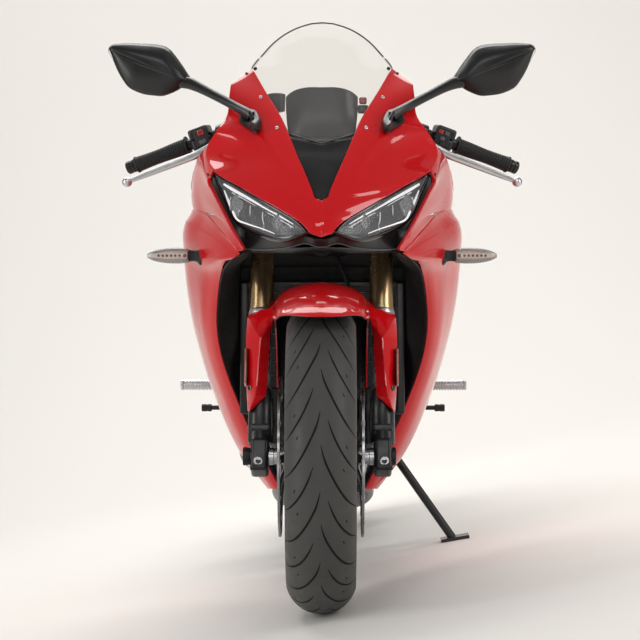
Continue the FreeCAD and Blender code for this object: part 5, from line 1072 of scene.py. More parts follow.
def rim_mesh(name, c, w, body, slot, repl, spoke_t, hub_r, hub_a, hub_b, bore):
    f = 223.0
    prof = [(w, 212), (w, f - 1), (w - 1, f), (w - 5, f), (w - 6, f - 1), (w - 6, 217), (w - 28, 214.5), (w - 34, 205), (-(w - 34), 205), (-(w - 28), 214.5), (-(w - 6), 217), (-(w - 6), f - 1), (-(w - 5), f), (-(w - 1), f), (-w, f - 1),
            (-w, 212), (-(w - 8), 208.5), (-(w - 24), 206), (-(w - 32), 197.5), (w - 32, 197.5), (w - 24, 206), (w - 8, 208.5)]
    turned(name + "_barrel", prof, c, (1, 0, 0), BLACKG, body, slot, segs=120, closed=True, repl=repl)
    turned(name + "_hub", [(hub_a, bore), (hub_a, hub_r - 3), (hub_a + 3, hub_r), (hub_b - 3, hub_r), (hub_b, hub_r - 3), (hub_b, bore)], c, (1, 0, 0), BLACKG, body, slot, segs=64, closed=True)
    out = []
    for i in range(5):
        a0 = 2 * math.pi * i / 5
        for sgn in (1, -1):
            # one arm of the forked spoke, from the hub to the barrel
            Rr = []
            for r_, tw, hw_, th in ((24, 8, 11, 0.52), (70, 9, 10, 0.50), (112, 20, 10, 0.48), (150, 36, 9.5, 0.46), (185, 52, 9.5, 0.5), (200, 58, 12, 0.6)):
                cc = np.array([r_, sgn * tw])
                sec = []
                for w_ in np.linspace(0, 2 * math.pi, 13)[:-1]:
                    u_ = math.copysign(abs(math.cos(w_)) ** 0.7, math.cos(w_)) * hw_
                    x_ = math.copysign(abs(math.sin(w_)) ** 0.7, math.sin(w_)) * spoke_t * th
                    rad, tan = cc[0], cc[1] + u_
                    y_ = rad * math.cos(a0) - tan * math.sin(a0)
                    z_ = rad * math.sin(a0) + tan * math.cos(a0)
                    sec.append((c[0] + x_, c[1] + y_, c[2] + z_))
                Rr.append(sec)
            out.append(rings("%s_spoke%d%s" % (name, i, "a" if sgn > 0 else "b"), Rr, BLACKG, body, slot, nr=3, nc=2))
    join(name + "_spokes", out)


rim_mesh("rim_front", FC, 51.0, FW, "wheel_black", "front_rim", 30.0, 33.0, -62, 62, 13.0)


def disc_mesh(name, c, x, R, ri, t, body, slot, hat_x, hat_r, repl=None, arms=10, hole_shade=True):
    """A drilled, waved ring on a spider; each drill hole is filled with a matt black plug whose black is painted shade
    of the open hole.
    """
    import bmesh
    V, F = [], []
    n = 240
    for face in (1, -1):
        for k in range(n):
            a = 2 * math.pi * k / n
            ro = R - 1.6 - 1.6 * math.cos(a * 12)
            for r_ in (ri, ri + 1.2, ro - 1.2, ro):
                xx = t / 2 * face if r_ not in (ri, ro) else (t / 2 - 0.5) * face
                V.append((c[0] + x + xx, c[1] + r_ * math.sin(a), c[2] + r_ * math.cos(a)))
    off = 4 * n
    for k in range(n):
        k2 = (k + 1) % n
        for j in range(3):
            F.append((4 * k + j, 4 * k + j + 1, 4 * k2 + j + 1, 4 * k2 + j))
            F.append((off + 4 * k + j, off + 4 * k2 + j, off + 4 * k2 + j + 1, off + 4 * k + j + 1))
        F.append((4 * k + 3, off + 4 * k + 3, off + 4 * k2 + 3, 4 * k2 + 3))
        F.append((4 * k, 4 * k2, off + 4 * k2, off + 4 * k))
    o = add(name, V, F, DISC, body, slot, repl=repl, sharp=40)
    objs = []
    if hole_shade:
        # each drill hole gets a matt black plug: painted shade standing in for the open hole
        for k in range(60):
            a = 2 * math.pi * k / 60
            r_ = ri + (R - ri) * (0.28 + 0.24 * (k % 3))
            p = (c[0] + x - t / 2 - 0.06, c[1] + r_ * math.sin(a), c[2] + r_ * math.cos(a))
            objs.append(turned("h", [(0, 0.01), (0, 2.6), (t + 0.12, 2.6), (t + 0.12, 0.01)], p, (1, 0, 0), BLACKM, body, slot, segs=10))
        join(name + "_holes", objs)
    sg = 1 if x > 0 else -1
    sp = []
    for k in range(arms):
        a = 2 * math.pi * (k + 0.5) / arms
        Rr = []
        for r_, w_, xo in ((40, 9, hat_x), (62, 7, hat_x + (x - hat_x) * 0.55), (ri - 4, 6.5, x), (ri + 6, 6.5, x)):
            sec = []
            for u_, v_ in ((w_, 2.3), (w_, -2.3), (-w_, -2.3), (-w_, 2.3)):
                y_ = r_ * math.sin(a) + u_ * math.cos(a)
                z_ = r_ * math.cos(a) - u_ * math.sin(a)
                sec.append((c[0] + xo + v_, c[1] + y_, c[2] + z_))
            Rr.append(sec)
        sp.append(rings("s", Rr, BLACK, body, slot, nr=3, nc=1, sharp=30))
        p = (c[0] + x, c[1] + (ri + 1) * math.sin(a), c[2] + (ri + 1) * math.cos(a))
        sp.append(turned("b", [(-3.6, 4), (-3.2, 6.4), (3.2, 6.4), (3.6, 4)], p, (1, 0, 0), STEEL, body, slot, segs=16))
    join(name + "_spider", sp)
    turned(name + "_hat", [(hat_x - 3, 34), (hat_x - 3, 48), (hat_x + 3, 50), (hat_x + 3, 34)] if sg > 0 else [(hat_x - 3, 34), (hat_x - 3, 50), (hat_x + 3, 48), (hat_x + 3, 34)], c, (1, 0, 0), BLACK, body, slot, segs=60, closed=True)
    return o


for s, tag in ((1, "l"), (-1, "r")):
    disc_mesh("disc_" + tag, FC, s * 76.0, 150.0, 114.0, 5.0, FW, "disc_steel", s * 65.0, 50, repl="front_brake_discs")
    # caliper: two halves, bridge, bolts
    cc = leg(104, s, 82)
    for q, dx in enumerate((-13.2, 13.2)):
        block("caliper_half%d_%s" % (q, tag), (17.2, 54, 114), (s * 76 + dx, cc[1], cc[2]), BLACK, ST, "black_metal", rot=FORKM, bev=6, segs=4, repl="front_calipers")
    block("caliper_bridge_" + tag, (40, 12, 96), np.array([s * 76, cc[1], cc[2]]) + BACK * 21, BLACK, ST, "black_metal", rot=FORKM, bev=4)
    for q, (u_, v_) in enumerate(((-40, -14), (40, -14), (-40, 16), (40, 16))):
        p = np.array([s * (76 + 22), cc[1], cc[2]]) + UP * u_ + BACK * v_
        turned("caliper_bolt%d_%s" % (q, tag), [(-3, 6), (1.5, 6), (2.4, 5), (2.4, 3.2), (0.5, 3), (0.5, 0.01)], p, (s, 0, 0), STEEL, ST, "steel", segs=20)

# mudguard: an arch with rolled edges and a raised middle, and the guards down the legs
ap = cr([(-88, 252), (-88.5, 268), (-86, 286), (-76, 302), (-60, 311.5), (-40, 318), (-18, 322), (0, 323.5), (18, 322), (40, 318), (60, 311.5), (76, 302), (86, 286), (88.5, 268), (88, 252)], 3)
arc_a = np.linspace(math.radians(74.5), math.radians(-35.6), 64)
AG = []
for a in arc_a:
    row = []
    # toward the front the flanks are drawn up, so the edge runs nearly level
    e = min(1.0, max(0.0, (math.radians(14) - a) / math.radians(42)))
    e = e * e * (3 - 2 * e)
    for x, r_ in ap:
        q = abs(x) / 88.0
        rr = r_ + max(0.0, 292 - r_) * e
        aa = a + math.radians(8.5) * q ** 2 * e
        row.append((x * (1 - 0.02 * e), rr * math.sin(aa), 290 + rr * math.cos(aa)))
    AG.append(row)
weld("mudguard_arch", [np.array(AG)], RED, 2.6, ST, "red_paint", repl="front_mudguard", inward=(0, 0, 290), bevel=0.8)
AL = np.array(AG)
rad = np.sqrt(AL[..., 1] ** 2 + (AL[..., 2] - 290) ** 2)
sc_ = (rad - 3.0) / rad
AL = np.stack([AL[..., 0] * 0.965, AL[..., 1] * sc_, 290 + (AL[..., 2] - 290) * sc_], axis=-1)[:, 1:-1]
weld("mudguard_inside", [AL], BLACKM, 0.8, ST, "black_plastic", inward=(0, 0, 290), bevel=0)
for s, tag in ((1, "l"), (-1, "r")):
    # guard: a faceted channel down the front of the leg to a slanted tip, and the shoulder that joins it to the arch
    GR = [
        [(67, 311, 146), (58, 308.0, 140), (51.5, 305, 132), (45.0, 298, 128)],
        [(71.5, 312.5, 112), (61, 309.8, 94), (53.5, 308.7, 92), (46.3, 305.0, 96)],
        [(74.2, 317.5, 100), (70.8, 320.5, 82), (55, 319.5, 80), (47.6, 316.5, 82)],
        [(75.2, 330, 94), (67.2, 329.5, 70), (56.2, 331.5, 66), (50.6, 326, 84)],
        [(75.6, 338, 90), (61.6, 337.2, 58), (60.0, 337.8, 58), (51.6, 338, 78)],
        [(75.6, 361, 76), (63.4, 361, 43), (62.2, 361, 43), (53.0, 361, 56)],
        [(75.2, 386, 60), (65.4, 386, 25), (64.4, 386, 25), (54.4, 386, 33)],
        [(74.8, 397.5, 46), (66.6, 396, 14), (65.8, 396, 14), (55.6, 396, 18)],
        [(73.8, 411, 22), (72.6, 410.8, 11), (72.0, 410.6, 10), (70.6, 409.2, 11)],
    ]
    G = [[tuple(np.array(fp(*q)) * np.array([s, 1, 1])) for q in r] for r in GR]
    weld("guard_" + tag, [np.array(G)], RED, 3.0, ST, "red_paint", inward=tuple(leg(190, s)), bevel=0, sharp=5, tol=0.02)
    gd = bpy.data.objects["guard_" + tag]
    bv = gd.modifiers.new("edge", "BEVEL")
    bv.width, bv.segments, bv.limit_method, bv.angle_limit = 0.0016, 3, "ANGLE", math.radians(9)
    for pol in gd.data.polygons:
        pol.use_smooth = True
    gd.data.set_sharp_from_angle(angle=math.radians(60))
    tiny_screw("guard_screw_" + tag, tuple(np.array(fp(71.8, 388, 42)) * np.array([s, 1, 1])), (s * 0.75, -0.65, 0), 5.2, BLACKG, ST)
    p = leg(168, s, -6, 28.6)
    block("reflector_" + tag, (4.6, 21.4, 70), p + UP * 8, REFRED, ST, "amber", rot=FORKM, bev=2, repl="front_reflectors")
    block("reflector_back_" + tag, (2.0, 22, 71), UP * 8 + p + np.array([-s * 2.0, 0, 0]), BLACK, ST, "black_plastic", rot=FORKM, bev=0.8)

# ------------------------------------------------------------------ mirrors: angular shells on slim stems with shield-shaped feet
def mpt(h, row, y):
    return fp(h, row, y)


for s, tag in ((1, "l"), (-1, "r")):
    # outline of the shell from the front: pointed tip outboard, blunt neck inboard
    OUTL = [(213.2, 48.9), (210.5, 45.4), (203, 44.0), (193, 43.4), (180, 43.8), (166.5, 44.5), (154.8, 47.2), (143, 60), (134.2, 73), (131.6, 77.2), (136, 84.5), (143, 90), (150, 93.4), (159, 96.3), (168, 95.8), (178, 94.4), (186, 91.5), (193, 87.7), (198.5, 80.5), (203, 73), (208.5, 60.5)]
    ctr = (171, 69)
    def loop(sc, y, dx=0, dy=0):
        return [mpt(ctr[0] + (h - ctr[0]) * sc + dx, ctr[1] + (r - ctr[1]) * sc + dy, y) for h, r in OUTL]
    R = [loop(1.0, 157.0), loop(1.0, 152.5), loop(0.985, 147)]
    rings("mirror_rim_" + tag, R, BLACK, slot="black_plastic", nr=2, nc=3, cap=False, side=s, repl="mirrors")
    # front face: two facets meeting on a crease from the tip down to the neck
    edge = [loop(0.985, 147)[i] for i in range(len(OUTL))]
    m = len(OUTL)
    cre = np.array([mpt(211.5, 50.5, 143), mpt(195, 57.5, 133), mpt(178, 64.5, 125), mpt(160, 72, 122), mpt(146, 77.5, 124), mpt(135, 80.5, 134)])
    up_e = cr(np.array([edge[i] for i in (0, 1, 2, 3, 4, 5, 6, 7, 8, 9)]), 4)
    lo_e = cr(np.array([edge[i] for i in (0, 20, 19, 18, 17, 16, 15, 14, 13, 12, 11, 10, 9)]), 3)
    crl = cr(cre, 6)

    def resamp(P, n):
        P = np.asarray(P, float)
        d = np.r_[0, np.cumsum(np.linalg.norm(np.diff(P, axis=0), axis=1))]
        t = np.linspace(0, d[-1], n)
        return np.column_stack([np.interp(t, d, P[:, i]) for i in range(3)])

    a_, b_, c_ = resamp(up_e, 34), resamp(crl, 34), resamp(lo_e, 34)
    c_[-1] = a_[-1]
    upg = np.array([[a_[i] + (b_[i] - a_[i]) * t + np.array([0, -9.0 * math.sin(math.pi * t) * math.sin(math.pi * i / 33.0) ** 0.7, 0]) for t in np.linspace(0, 1, 9)] for i in range(34)])
    log = np.array([[b_[i] + (c_[i] - b_[i]) * t + np.array([0, -4.0 * math.sin(math.pi * t) * math.sin(math.pi * i / 33.0) ** 0.7, 0]) for t in np.linspace(0, 1, 9)] for i in range(34)])
    mc = tuple(np.array(mpt(ctr[0], ctr[1], 160)) * np.array([s, 1, 1]))
    weld("mirror_upper_" + tag, [upg if s > 0 else flip(upg)], BLACK, 2.0, slot="black_plastic", inward=mc, bevel=0)
    weld("mirror_lower_" + tag, [log if s > 0 else flip(log)], BLACK, 2.0, slot="black_plastic", inward=mc, bevel=0)
    g = [loop(0.93, 156.2), loop(0.93, 155.2)]
    rings("mirror_glass_" + tag, g, MIRRORM, slot="mirror_glass", nr=1, nc=3, side=s, repl="mirror_glass")
    # neck, stem and foot
    stem = [(146, 80, 146), (140, 82, 145), (133, 83.2, 143), (125, 86.5, 140), (112, 93.0, 135), (98, 100.2, 128), (84, 107.8, 118), (74, 113.5, 108), (69.5, 117.0, 103)]
    wz = [8.0, 10.5, 10.6, 9.2, 8.0, 7.8, 8.0, 9.4, 11]
    wy = [10, 11, 11, 10.5, 10, 10, 11, 12, 13]
    P_ = np.array([mpt(*q) for q in stem])
    T_ = np.gradient(P_, axis=0)
    RR = []
    for p, t, a2, b2 in zip(P_, T_, wy, wz):
        t = t / np.linalg.norm(t)
        vv = np.array([0, 1.0, 0])
        uu = np.cross(vv, t)
        uu /= np.linalg.norm(uu)
        vv = np.cross(t, uu)
        RR.append([p + vv * a2 * x_ + uu * b2 * z_ for x_, z_ in ((1, -0.7), (1, 0.5), (0.55, 1.0), (-0.35, 1.0), (-1, 0.35), (-0.8, -0.55), (-0.3, -1.0), (0.6, -1.0))])
    rings("mirror_stem_" + tag, RR, BLACK, slot="black_plastic", nr=4, nc=2, side=s, sharp=30)
    FOOT = [(82.6, 119), (80.5, 114), (75.3, 109.7), (70, 109.6), (66.5, 111), (63, 115.5), (60.6, 121.5), (60.8, 127), (62.1, 131.8), (65.5, 133.2), (69.4, 131.8), (75.5, 127.5), (81.2, 123)]
    fc = (71, 121)
    def floop(sc, y0):
        out = []
        for h, r in FOOT:
            t = (h - 33) / 66.0
            base = 62 + 75 * max(0.0, t) ** 1.45 + (122 - r) * 1.5
            out.append(mpt(fc[0] + (h - fc[0]) * sc, fc[1] + (r - fc[1]) * sc, base + y0))
        return out
    rings("mirror_foot_" + tag, [floop(1.04, 14), floop(1.04, 4), floop(1.0, -1), floop(0.84, -9), floop(0.55, -14), floop(0.15, -16)], BLACK, slot="black_plastic", nr=3, nc=3, side=s)
    rdg = np.array([mpt(72, 112, 90), mpt(69, 119, 82), mpt(66.5, 131, 66)])
    sweep("mirror_foot_ridge_" + tag, rdg if s > 0 else flip(rdg), [3.0, 4.5, 1.5], BLACK, slot="black_plastic", smooth=5, segs=10)

SIGSHELL = surface("signal_shell", (0.30, 0.29, 0.28), 0.0, 0.22, 0.06, 0.08, 60, 0.10, 500, 0.0001, coat=0.7, coat_rough=0.06)
SIGBAND = surface("signal_band", (0.60, 0.50, 0.42), 0.0, 0.30, 0.08, 0.10, 90, 0.20, 700, 0.0001, coat=0.6)
SIGDOT = surface("signal_dot", (0.13, 0.07, 0.045), 0.0, 0.25, 0.05, 0.08, 90, 0.1, 600, 0.0001, coat=0.5)
SIGRIB = surface("signal_rib", (0.44, 0.42, 0.40), 0.0, 0.2, 0.05, 0.06, 90, 0.1, 600, 0.0001, coat=0.7)
# ------------------------------------------------------------------ front turn signals: rubber stalk, dark pod, clear ribbed lens
for s, tag in ((1, "l"), (-1, "r")):
    def ring_at(x, y, z, hy, hz, n=24, pw=0.8):
        return [(x, y + hy * math.copysign(abs(math.cos(w)) ** pw, math.cos(w)), z + hz * math.copysign(abs(math.sin(w)) ** pw, math.sin(w))) for w in np.linspace(0, 2 * math.pi, n + 1)[:-1]]
    rings("signal_stalk_" + tag, [ring_at(229, 206, 664, 15, 17.5), ring_at(237, 206, 664, 15, 17.5), ring_at(240.5, 207, 664, 12.5, 14.5), ring_at(243, 211, 664.5, 10, 11.8), ring_at(257, 210, 665, 9.6, 11.2), ring_at(261, 210, 665, 11, 12.6)], RUBBER, slot="black_plastic", nr=3, nc=1, side=s, repl="turn_signals")
    rings("signal_pod_" + tag, [ring_at(256, 211, 665, 8, 9), ring_at(260, 211, 665, 11.5, 13), ring_at(272, 211, 665, 13, 15), ring_at(292, 211, 665, 13, 15.4), ring_at(315, 212, 665, 11.2, 13.2), ring_at(332, 213, 665, 7.2, 8.6), ring_at(341, 213.5, 665, 2.6, 3.4)], SIGSHELL, slot="clear_lens", nr=3, nc=1, side=s)
    hz_at = lambda x: np.interp(x, [260, 272, 292, 315, 332, 341], [13, 15, 15.4, 13.2, 8.6, 3.4])
    hy_at = lambda x: np.interp(x, [260, 272, 292, 315, 332, 341], [11.5, 13, 13, 11.2, 7.2, 2.6])
    G = []
    for x in (262, 268, 280, 292, 304, 316, 326, 334):
        G.append([(x, 211 - hy_at(x) * math.sqrt(max(0.0, 1 - (0.42 * v) ** 2)) - 0.7 + (x - 292) * 0.02, 665 + hz_at(x) * 0.42 * v) for v in np.linspace(-1, 1, 5)])
    G = refine(G, 5, 2)
    weld("signal_band_" + tag, [G if s > 0 else flip(G)], SIGBAND, 0.8, slot="clear_lens", inward=(s * 290, 225, 665), bevel=0)
    for q in range(6):
        x = 277 + 8.2 * q
        turned("signal_lamp%d_%s" % (q, tag), [(0, 0.01), (0.2, 1.5), (0.8, 2.4), (1.6, 2.6)], (s * x, 211 - hy_at(x) - 1.9, 665), (0, 1, 0), SIGDOT, slot="clear_lens", segs=14)
    turned("signal_bulb_" + tag, [(-0.4, 2.2), (-0.6, 3.0), (-0.2, 3.6), (1.0, 3.8)], (s * 267, 211 - hy_at(267) - 1.0, 665), (0, 1, 0), SIGDOT, slot="clear_lens", segs=20)
    for q in range(15):
        x = 264 + 4.6 * q
        for up in (1, -1):
            z0, z1 = hz_at(x) * 0.48, hz_at(x) * 0.90
            sweep("signal_rib%d_%s" % (2 * q + (up > 0), tag), [(s * x, 211 - hy_at(x) * 0.93 - 0.3, 665 + up * z0), (s * (x + 0.8), 211 - hy_at(x) * 0.52 - 0.3, 665 + up * z1)], 0.7, SIGRIB, slot="clear_lens", segs=6)
# the rear pair, on stalks from the plate hanger
for s, tag in ((1, "l"), (-1, "r")):
    sweep("rear_stalk_" + tag, [(s * 29, 1612, 716), (s * 66, 1622, 716)], 6.2, RUBBER, slot="black_plastic", segs=20)
    rings("rear_pod_" + tag, [ring_at(62, 1622, 716, 8, 9), ring_at(68, 1623, 716, 10, 13), ring_at(92, 1624, 716, 10, 14), ring_at(124, 1626, 716, 9, 12), ring_at(140, 1627, 716, 5.6, 8), ring_at(146, 1628, 716, 2.4, 4)], BLACKG, slot="black_plastic", nr=3, nc=1, side=s)
    G = []
    for x in (70, 82, 98, 116, 130, 140):
        hz = float(np.interp(x, [68, 92, 124, 140, 146], [13, 14, 12, 8, 4]))
        hy = float(np.interp(x, [68, 92, 124, 140, 146], [10, 10, 9, 5.6, 2.4]))
        G.append([(x, 1624 + (x - 92) * 0.05 + hy * math.sqrt(max(0.0, 1 - (0.8 * v) ** 2)) + 0.9, 716 + hz * 0.8 * v) for v in np.linspace(-1, 1, 7)])
    G = refine(G, 4, 2)
    weld("rear_lens_" + tag, [flip(G) if s > 0 else G], AMBER, 1.0, slot="clear_lens", inward=(s * 100, 1615, 716), bevel=0)

# ------------------------------------------------------------------ inside of the nose: dark ducts, radiator, hood
zr = np.linspace(616, 348, 12)
lead_p = np.array([r[0] for r in MAIN])
DG = []
for i, z in enumerate(np.linspace(676, 190, 26)):
    # a point of the leading edge at this height, then back to the radiator's side
    zz = lead_p[:, 2]
    x0 = np.interp(-z, -zz, lead_p[:, 0])
    y0 = np.interp(-z, -zz, lead_p[:, 1])
    xi = min(166, x0 - 8)
    DG.append([(x0 - 1.5, y0 + 3, z), (x0 - 12, y0 + 22, z), (mixf(x0 - 14, xi, 0.6), mixf(y0 + 26, max(345, y0 + 60), 0.6), z), (xi, max(352, y0 + 70), z), (xi - 2, max(420, y0 + 150), z)])
DG = refine(DG, 2, 4)
for s, tag in ((1, "l"), (-1, "r")):
    weld("duct_" + tag, [DG if s > 0 else flip(DG)], BLACKM, 2.0, slot="black_plastic", bevel=0, inward=(s * 400, 420, 500))
    # points for the inner strip of the fairing's leading edge; they are worked out but not built
    st_ = []
    for t, z in enumerate(np.linspace(560, 330, 14)):
        x0 = np.interp(-z, -zz, lead_p[:, 0])
        y0 = np.interp(-z, -zz, lead_p[:, 1])
        st_.append((s * (x0 + 2.5), y0 + 1.0, z))
# roof of the cavity: the undertray of the nose
UG = []
for y, hw, z in ((-40, 52, 672), (10, 110, 674), (60, 138, 676), (120, 168, 676), (190, 186, 672), (260, 196, 664), (340, 200, 650), (430, 200, 640)):
    UG.append([(x * hw, y + 18 * abs(x) ** 2, z - 6 * abs(x) ** 2) for x in np.linspace(-1, 1, 13)])
weld("nose_undertray", [refine(UG, 4, 2)], BLACKM, 2.5, slot="black_plastic", bevel=0, inward=(0, 300, 900))
# radiator: core of fins and tubes between end tanks
RC = (0, 356, 482)
block("radiator_core_face", (300, 24, 250), RC, DKMETAL, slot="black_metal", bev=1, repl="radiator")
for s, tag in ((1, "l"), (-1, "r")):
    block("radiator_tank_" + tag, (18, 34, 266), (s * 157, 356, 482), BLACK, slot="black_metal", bev=5, segs=4)
fins = []
for k in range(36):
    z = 362 + k * 6.9
    fins.append(block("fin", (296, 3.2, 1.5), (0, 343.2, z), DKMETAL, slot="black_metal", bev=0))
join("radiator_fins", fins)
bars_ = []
for k in range(9):
    bars_.append(block("rb", (297, 5, 3.6), (0, 342.6, 372 + k * 27.6), BLACKG, slot="black_metal", bev=0.8))
join("radiator_bars", bars_)
block("nose_bulkhead", (352, 4, 110), (0, 384, 664), BLACKM, slot="black_plastic", bev=1)
block("radiator_top", (318, 30, 14), (0, 356, 610), BLACK, slot="black_metal", bev=4)
block("radiator_low", (318, 30, 12), (0, 356, 354), BLACK, slot="black_metal", bev=4)
sweep("brake_hose", [(14, 236, 690), (30, 210, 662), (44, 190, 628), (56, 170, 592), (66, 150, 566)], 3.6, RUBBER, ST, "rubber", smooth=8, segs=12)

# instruments: hood, dark face, and the stay behind the screen
HG = []
for h, r0, yy in ((-36, 97, 176), (-34.5, 95.5, 174), (-30, 92, 170), (-24, 89.2, 166), (-18.5, 88.0, 164), (0, 87.4, 162), (18.5, 88.0, 164), (24, 89.2, 166), (30, 92, 170), (34.5, 95.5, 174), (36, 97, 176)):
    HG.append([fp(h, r0, yy), fp(h * 1.0, r0 + 12, yy - 10), fp(h * 0.98, 120, yy - 24), fp(h * 0.90, 140, 132)])
weld("dash_hood", [refine(HG, 4, 5)], BLACK, 3.0, slot="black_plastic", inward=(0, 230, 900), repl="instrument_cluster")
HT = [[fp(h, r0, yy), fp(h * 0.98, r0 + 1.5, yy + 22), fp(h * 0.92, r0 + 5, yy + 42)] for h, r0, yy in ((-36, 97, 176), (-30, 92, 170), (-18.5, 88.0, 164), (0, 87.4, 162), (18.5, 88.0, 164), (30, 92, 170), (36, 97, 176))]
weld("dash_top", [refine(HT, 4, 4)], BLACKM, 3.0, slot="black_plastic", inward=(0, 200, 880))
block("dash_case", (122, 26, 70), (0, 190, 938), BLACK, slot="black_plastic", rot=(-18, 0, 0), bev=6, segs=4)
block("dash_face", (108, 2, 58), (0, 203.5, 940), BLACKG, slot="black_plastic", rot=(-18, 0, 0), bev=1)
# the two small fittings seen through the screen: a fluid cup on one side, a red cap on the other
block("screen_fit_red", (15, 16, 14), fp(41, 101, 176), REDLENS, slot="red_lens", bev=5, segs=4)
block("screen_fit_base", (20, 18, 16), fp(41, 109.5, 176), BLACK, slot="black_plastic", bev=4, segs=4)
sweep("cup_hose", [(-96, 264, 944), (-118, 262, 920), (-150, 256, 902)], 4.0, RUBBER, ST, "rubber", smooth=6, segs=12)

# screws along the screen and cowl
for s in (1, -1):
    for h, r, y, m_ in ((66.5, 69, 204, BLACK), (60.9, 97.6, 147, ALU), (44.5, 128, 76, ALU)):
        p = np.array(fp(h, r, y)) * np.array([s, 1, 1])
        tiny_screw("screw_%d_%s" % (h, "l" if s > 0 else "r"), tuple(p + np.array([0, -2.5, 0])), (s * 0.35, -0.8, 0.48), 3.6, m_)
    a = np.array(fp(74, 74.5, 208)) * np.array([s, 1, 1])
    block("slot_screw_%s" % ("l" if s > 0 else "r"), (11, 4, 4.5), a, BLACK, bev=1.5, rot=(0, -s * 32, 0), slot="black_plastic")

# ------------------------------------------------------------------ foot pieces seen from the front
for s, tag in ((1, "l"), (-1, "r")):
    a, b = np.array([s * 163.0, 868, 384]), np.array([s * 322.0, 862, 385])
    d = (b - a) / np.linalg.norm(b - a)
    turned("peg_root_" + tag, [(0, 11), (2, 13), (26, 13), (28, 9), (34, 8.5), (36, 11), (60, 11)], tuple(a), d, ALU, "chassis", "frame_metal", segs=32, repl="footrests")
    prof = [(56, 10)]
    q = 58.0
    while q < 152:
        prof += [(q, 10.2), (q + 0.8, 12.6), (q + 4.0, 12.6), (q + 4.8, 10.2)]
        q += 6.4
    prof += [(154, 12.8), (158, 12.2), (159, 6)]
    turned("peg_" + tag, prof, tuple(a), d, ALU, "chassis", "frame_metal", segs=20, sharp=25)
    # heel plate of the footrest
    pl = [(s * 159.2, y, z) for y, z in ((862, 452), (884, 462), (930, 456), (948, 430), (944, 372), (925, 346), (880, 342), (852, 360), (850, 400))]
    prism("rest_plate_" + tag, pl, (s, 0, 0), 8, FRAME, "chassis", "frame_metal", bev=1.5)
    pl = [(s * 174.5, y, z) for y, z in ((726, 334), (724, 348), (800, 367), (870, 386), (884, 378), (880, 362), (800, 348))]
    prism("pedal_" + tag, pl, (s, 0, 0), 7, ALU, "chassis", "aluminium", bev=1.5, repl="foot_controls")
    turned("pedal_rod_" + tag, [(0, 5), (70, 5)], (s * 176, 728, 341), (s, 0, -0.01), BLACK, "chassis", "aluminium", segs=20)
    turned("pedal_knob_" + tag, [(0, 6.5), (1, 8), (8, 8), (9, 7.2), (11, 7.2), (12, 8), (21, 8), (22, 6.5)], (s * 244, 728, 340), (s, 0, 0), BLACKM, "chassis", "aluminium", segs=24)
    turned("pedal_boss_" + tag, [(0, 10), (1, 11), (14, 11), (15, 9)], (s * 167.4, 872, 373), (s, 0, 0), STEEL, "chassis", "aluminium", segs=28)
    turned("rear_peg_" + tag, [(0, 9), (2, 10), (20, 10), (22, 8), (26, 9.5), (78, 11.4), (82, 10), (83, 6)], (s * 150, 1050, 497), (s * 82, 14, 0), ALU, "chassis", "frame_metal", segs=24)
    sweep("rear_peg_rail_" + tag, [(s * 112, 1020, 700), (s * 140, 1040, 620), (s * 152, 1052, 500)], [11, 10, 13], FRAME, "chassis", "frame_metal", smooth=5, segs=14, sq=0.5)

# ------------------------------------------------------------------ seats: padded covers, blown up from a slightly smaller shape, then seams and sewn channels
RIDER = [(848, [(0, 742), (60, 740), (80, 748), (84, 760), (74, 774), (40, 783), (0, 786)]), (930, [(0, 744), (90, 740), (116, 750), (120, 762), (108, 776), (60, 785), (0, 787)]),
         (1030, [(0, 752), (110, 748), (140, 756), (145, 768), (130, 784), (74, 793), (0, 795)]), (1110, [(0, 760), (108, 758), (134, 768), (138, 784), (122, 806), (70, 818), (0, 822)]),
         (1150, [(0, 778), (98, 776), (118, 788), (122, 806), (108, 832), (64, 846), (0, 850)])]
PILLION = [(1154, [(0, 806), (70, 804), (92, 814), (96, 830), (84, 850), (50, 862), (0, 866)]), (1230, [(0, 822), (72, 820), (98, 830), (102, 848), (88, 868), (52, 880), (0, 884)]),
           (1330, [(0, 842), (64, 841), (86, 850), (89, 866), (76, 884), (44, 895), (0, 898)]), (1430, [(0, 862), (46, 861), (62, 868), (64, 880), (54, 893), (32, 901), (0, 904)])]


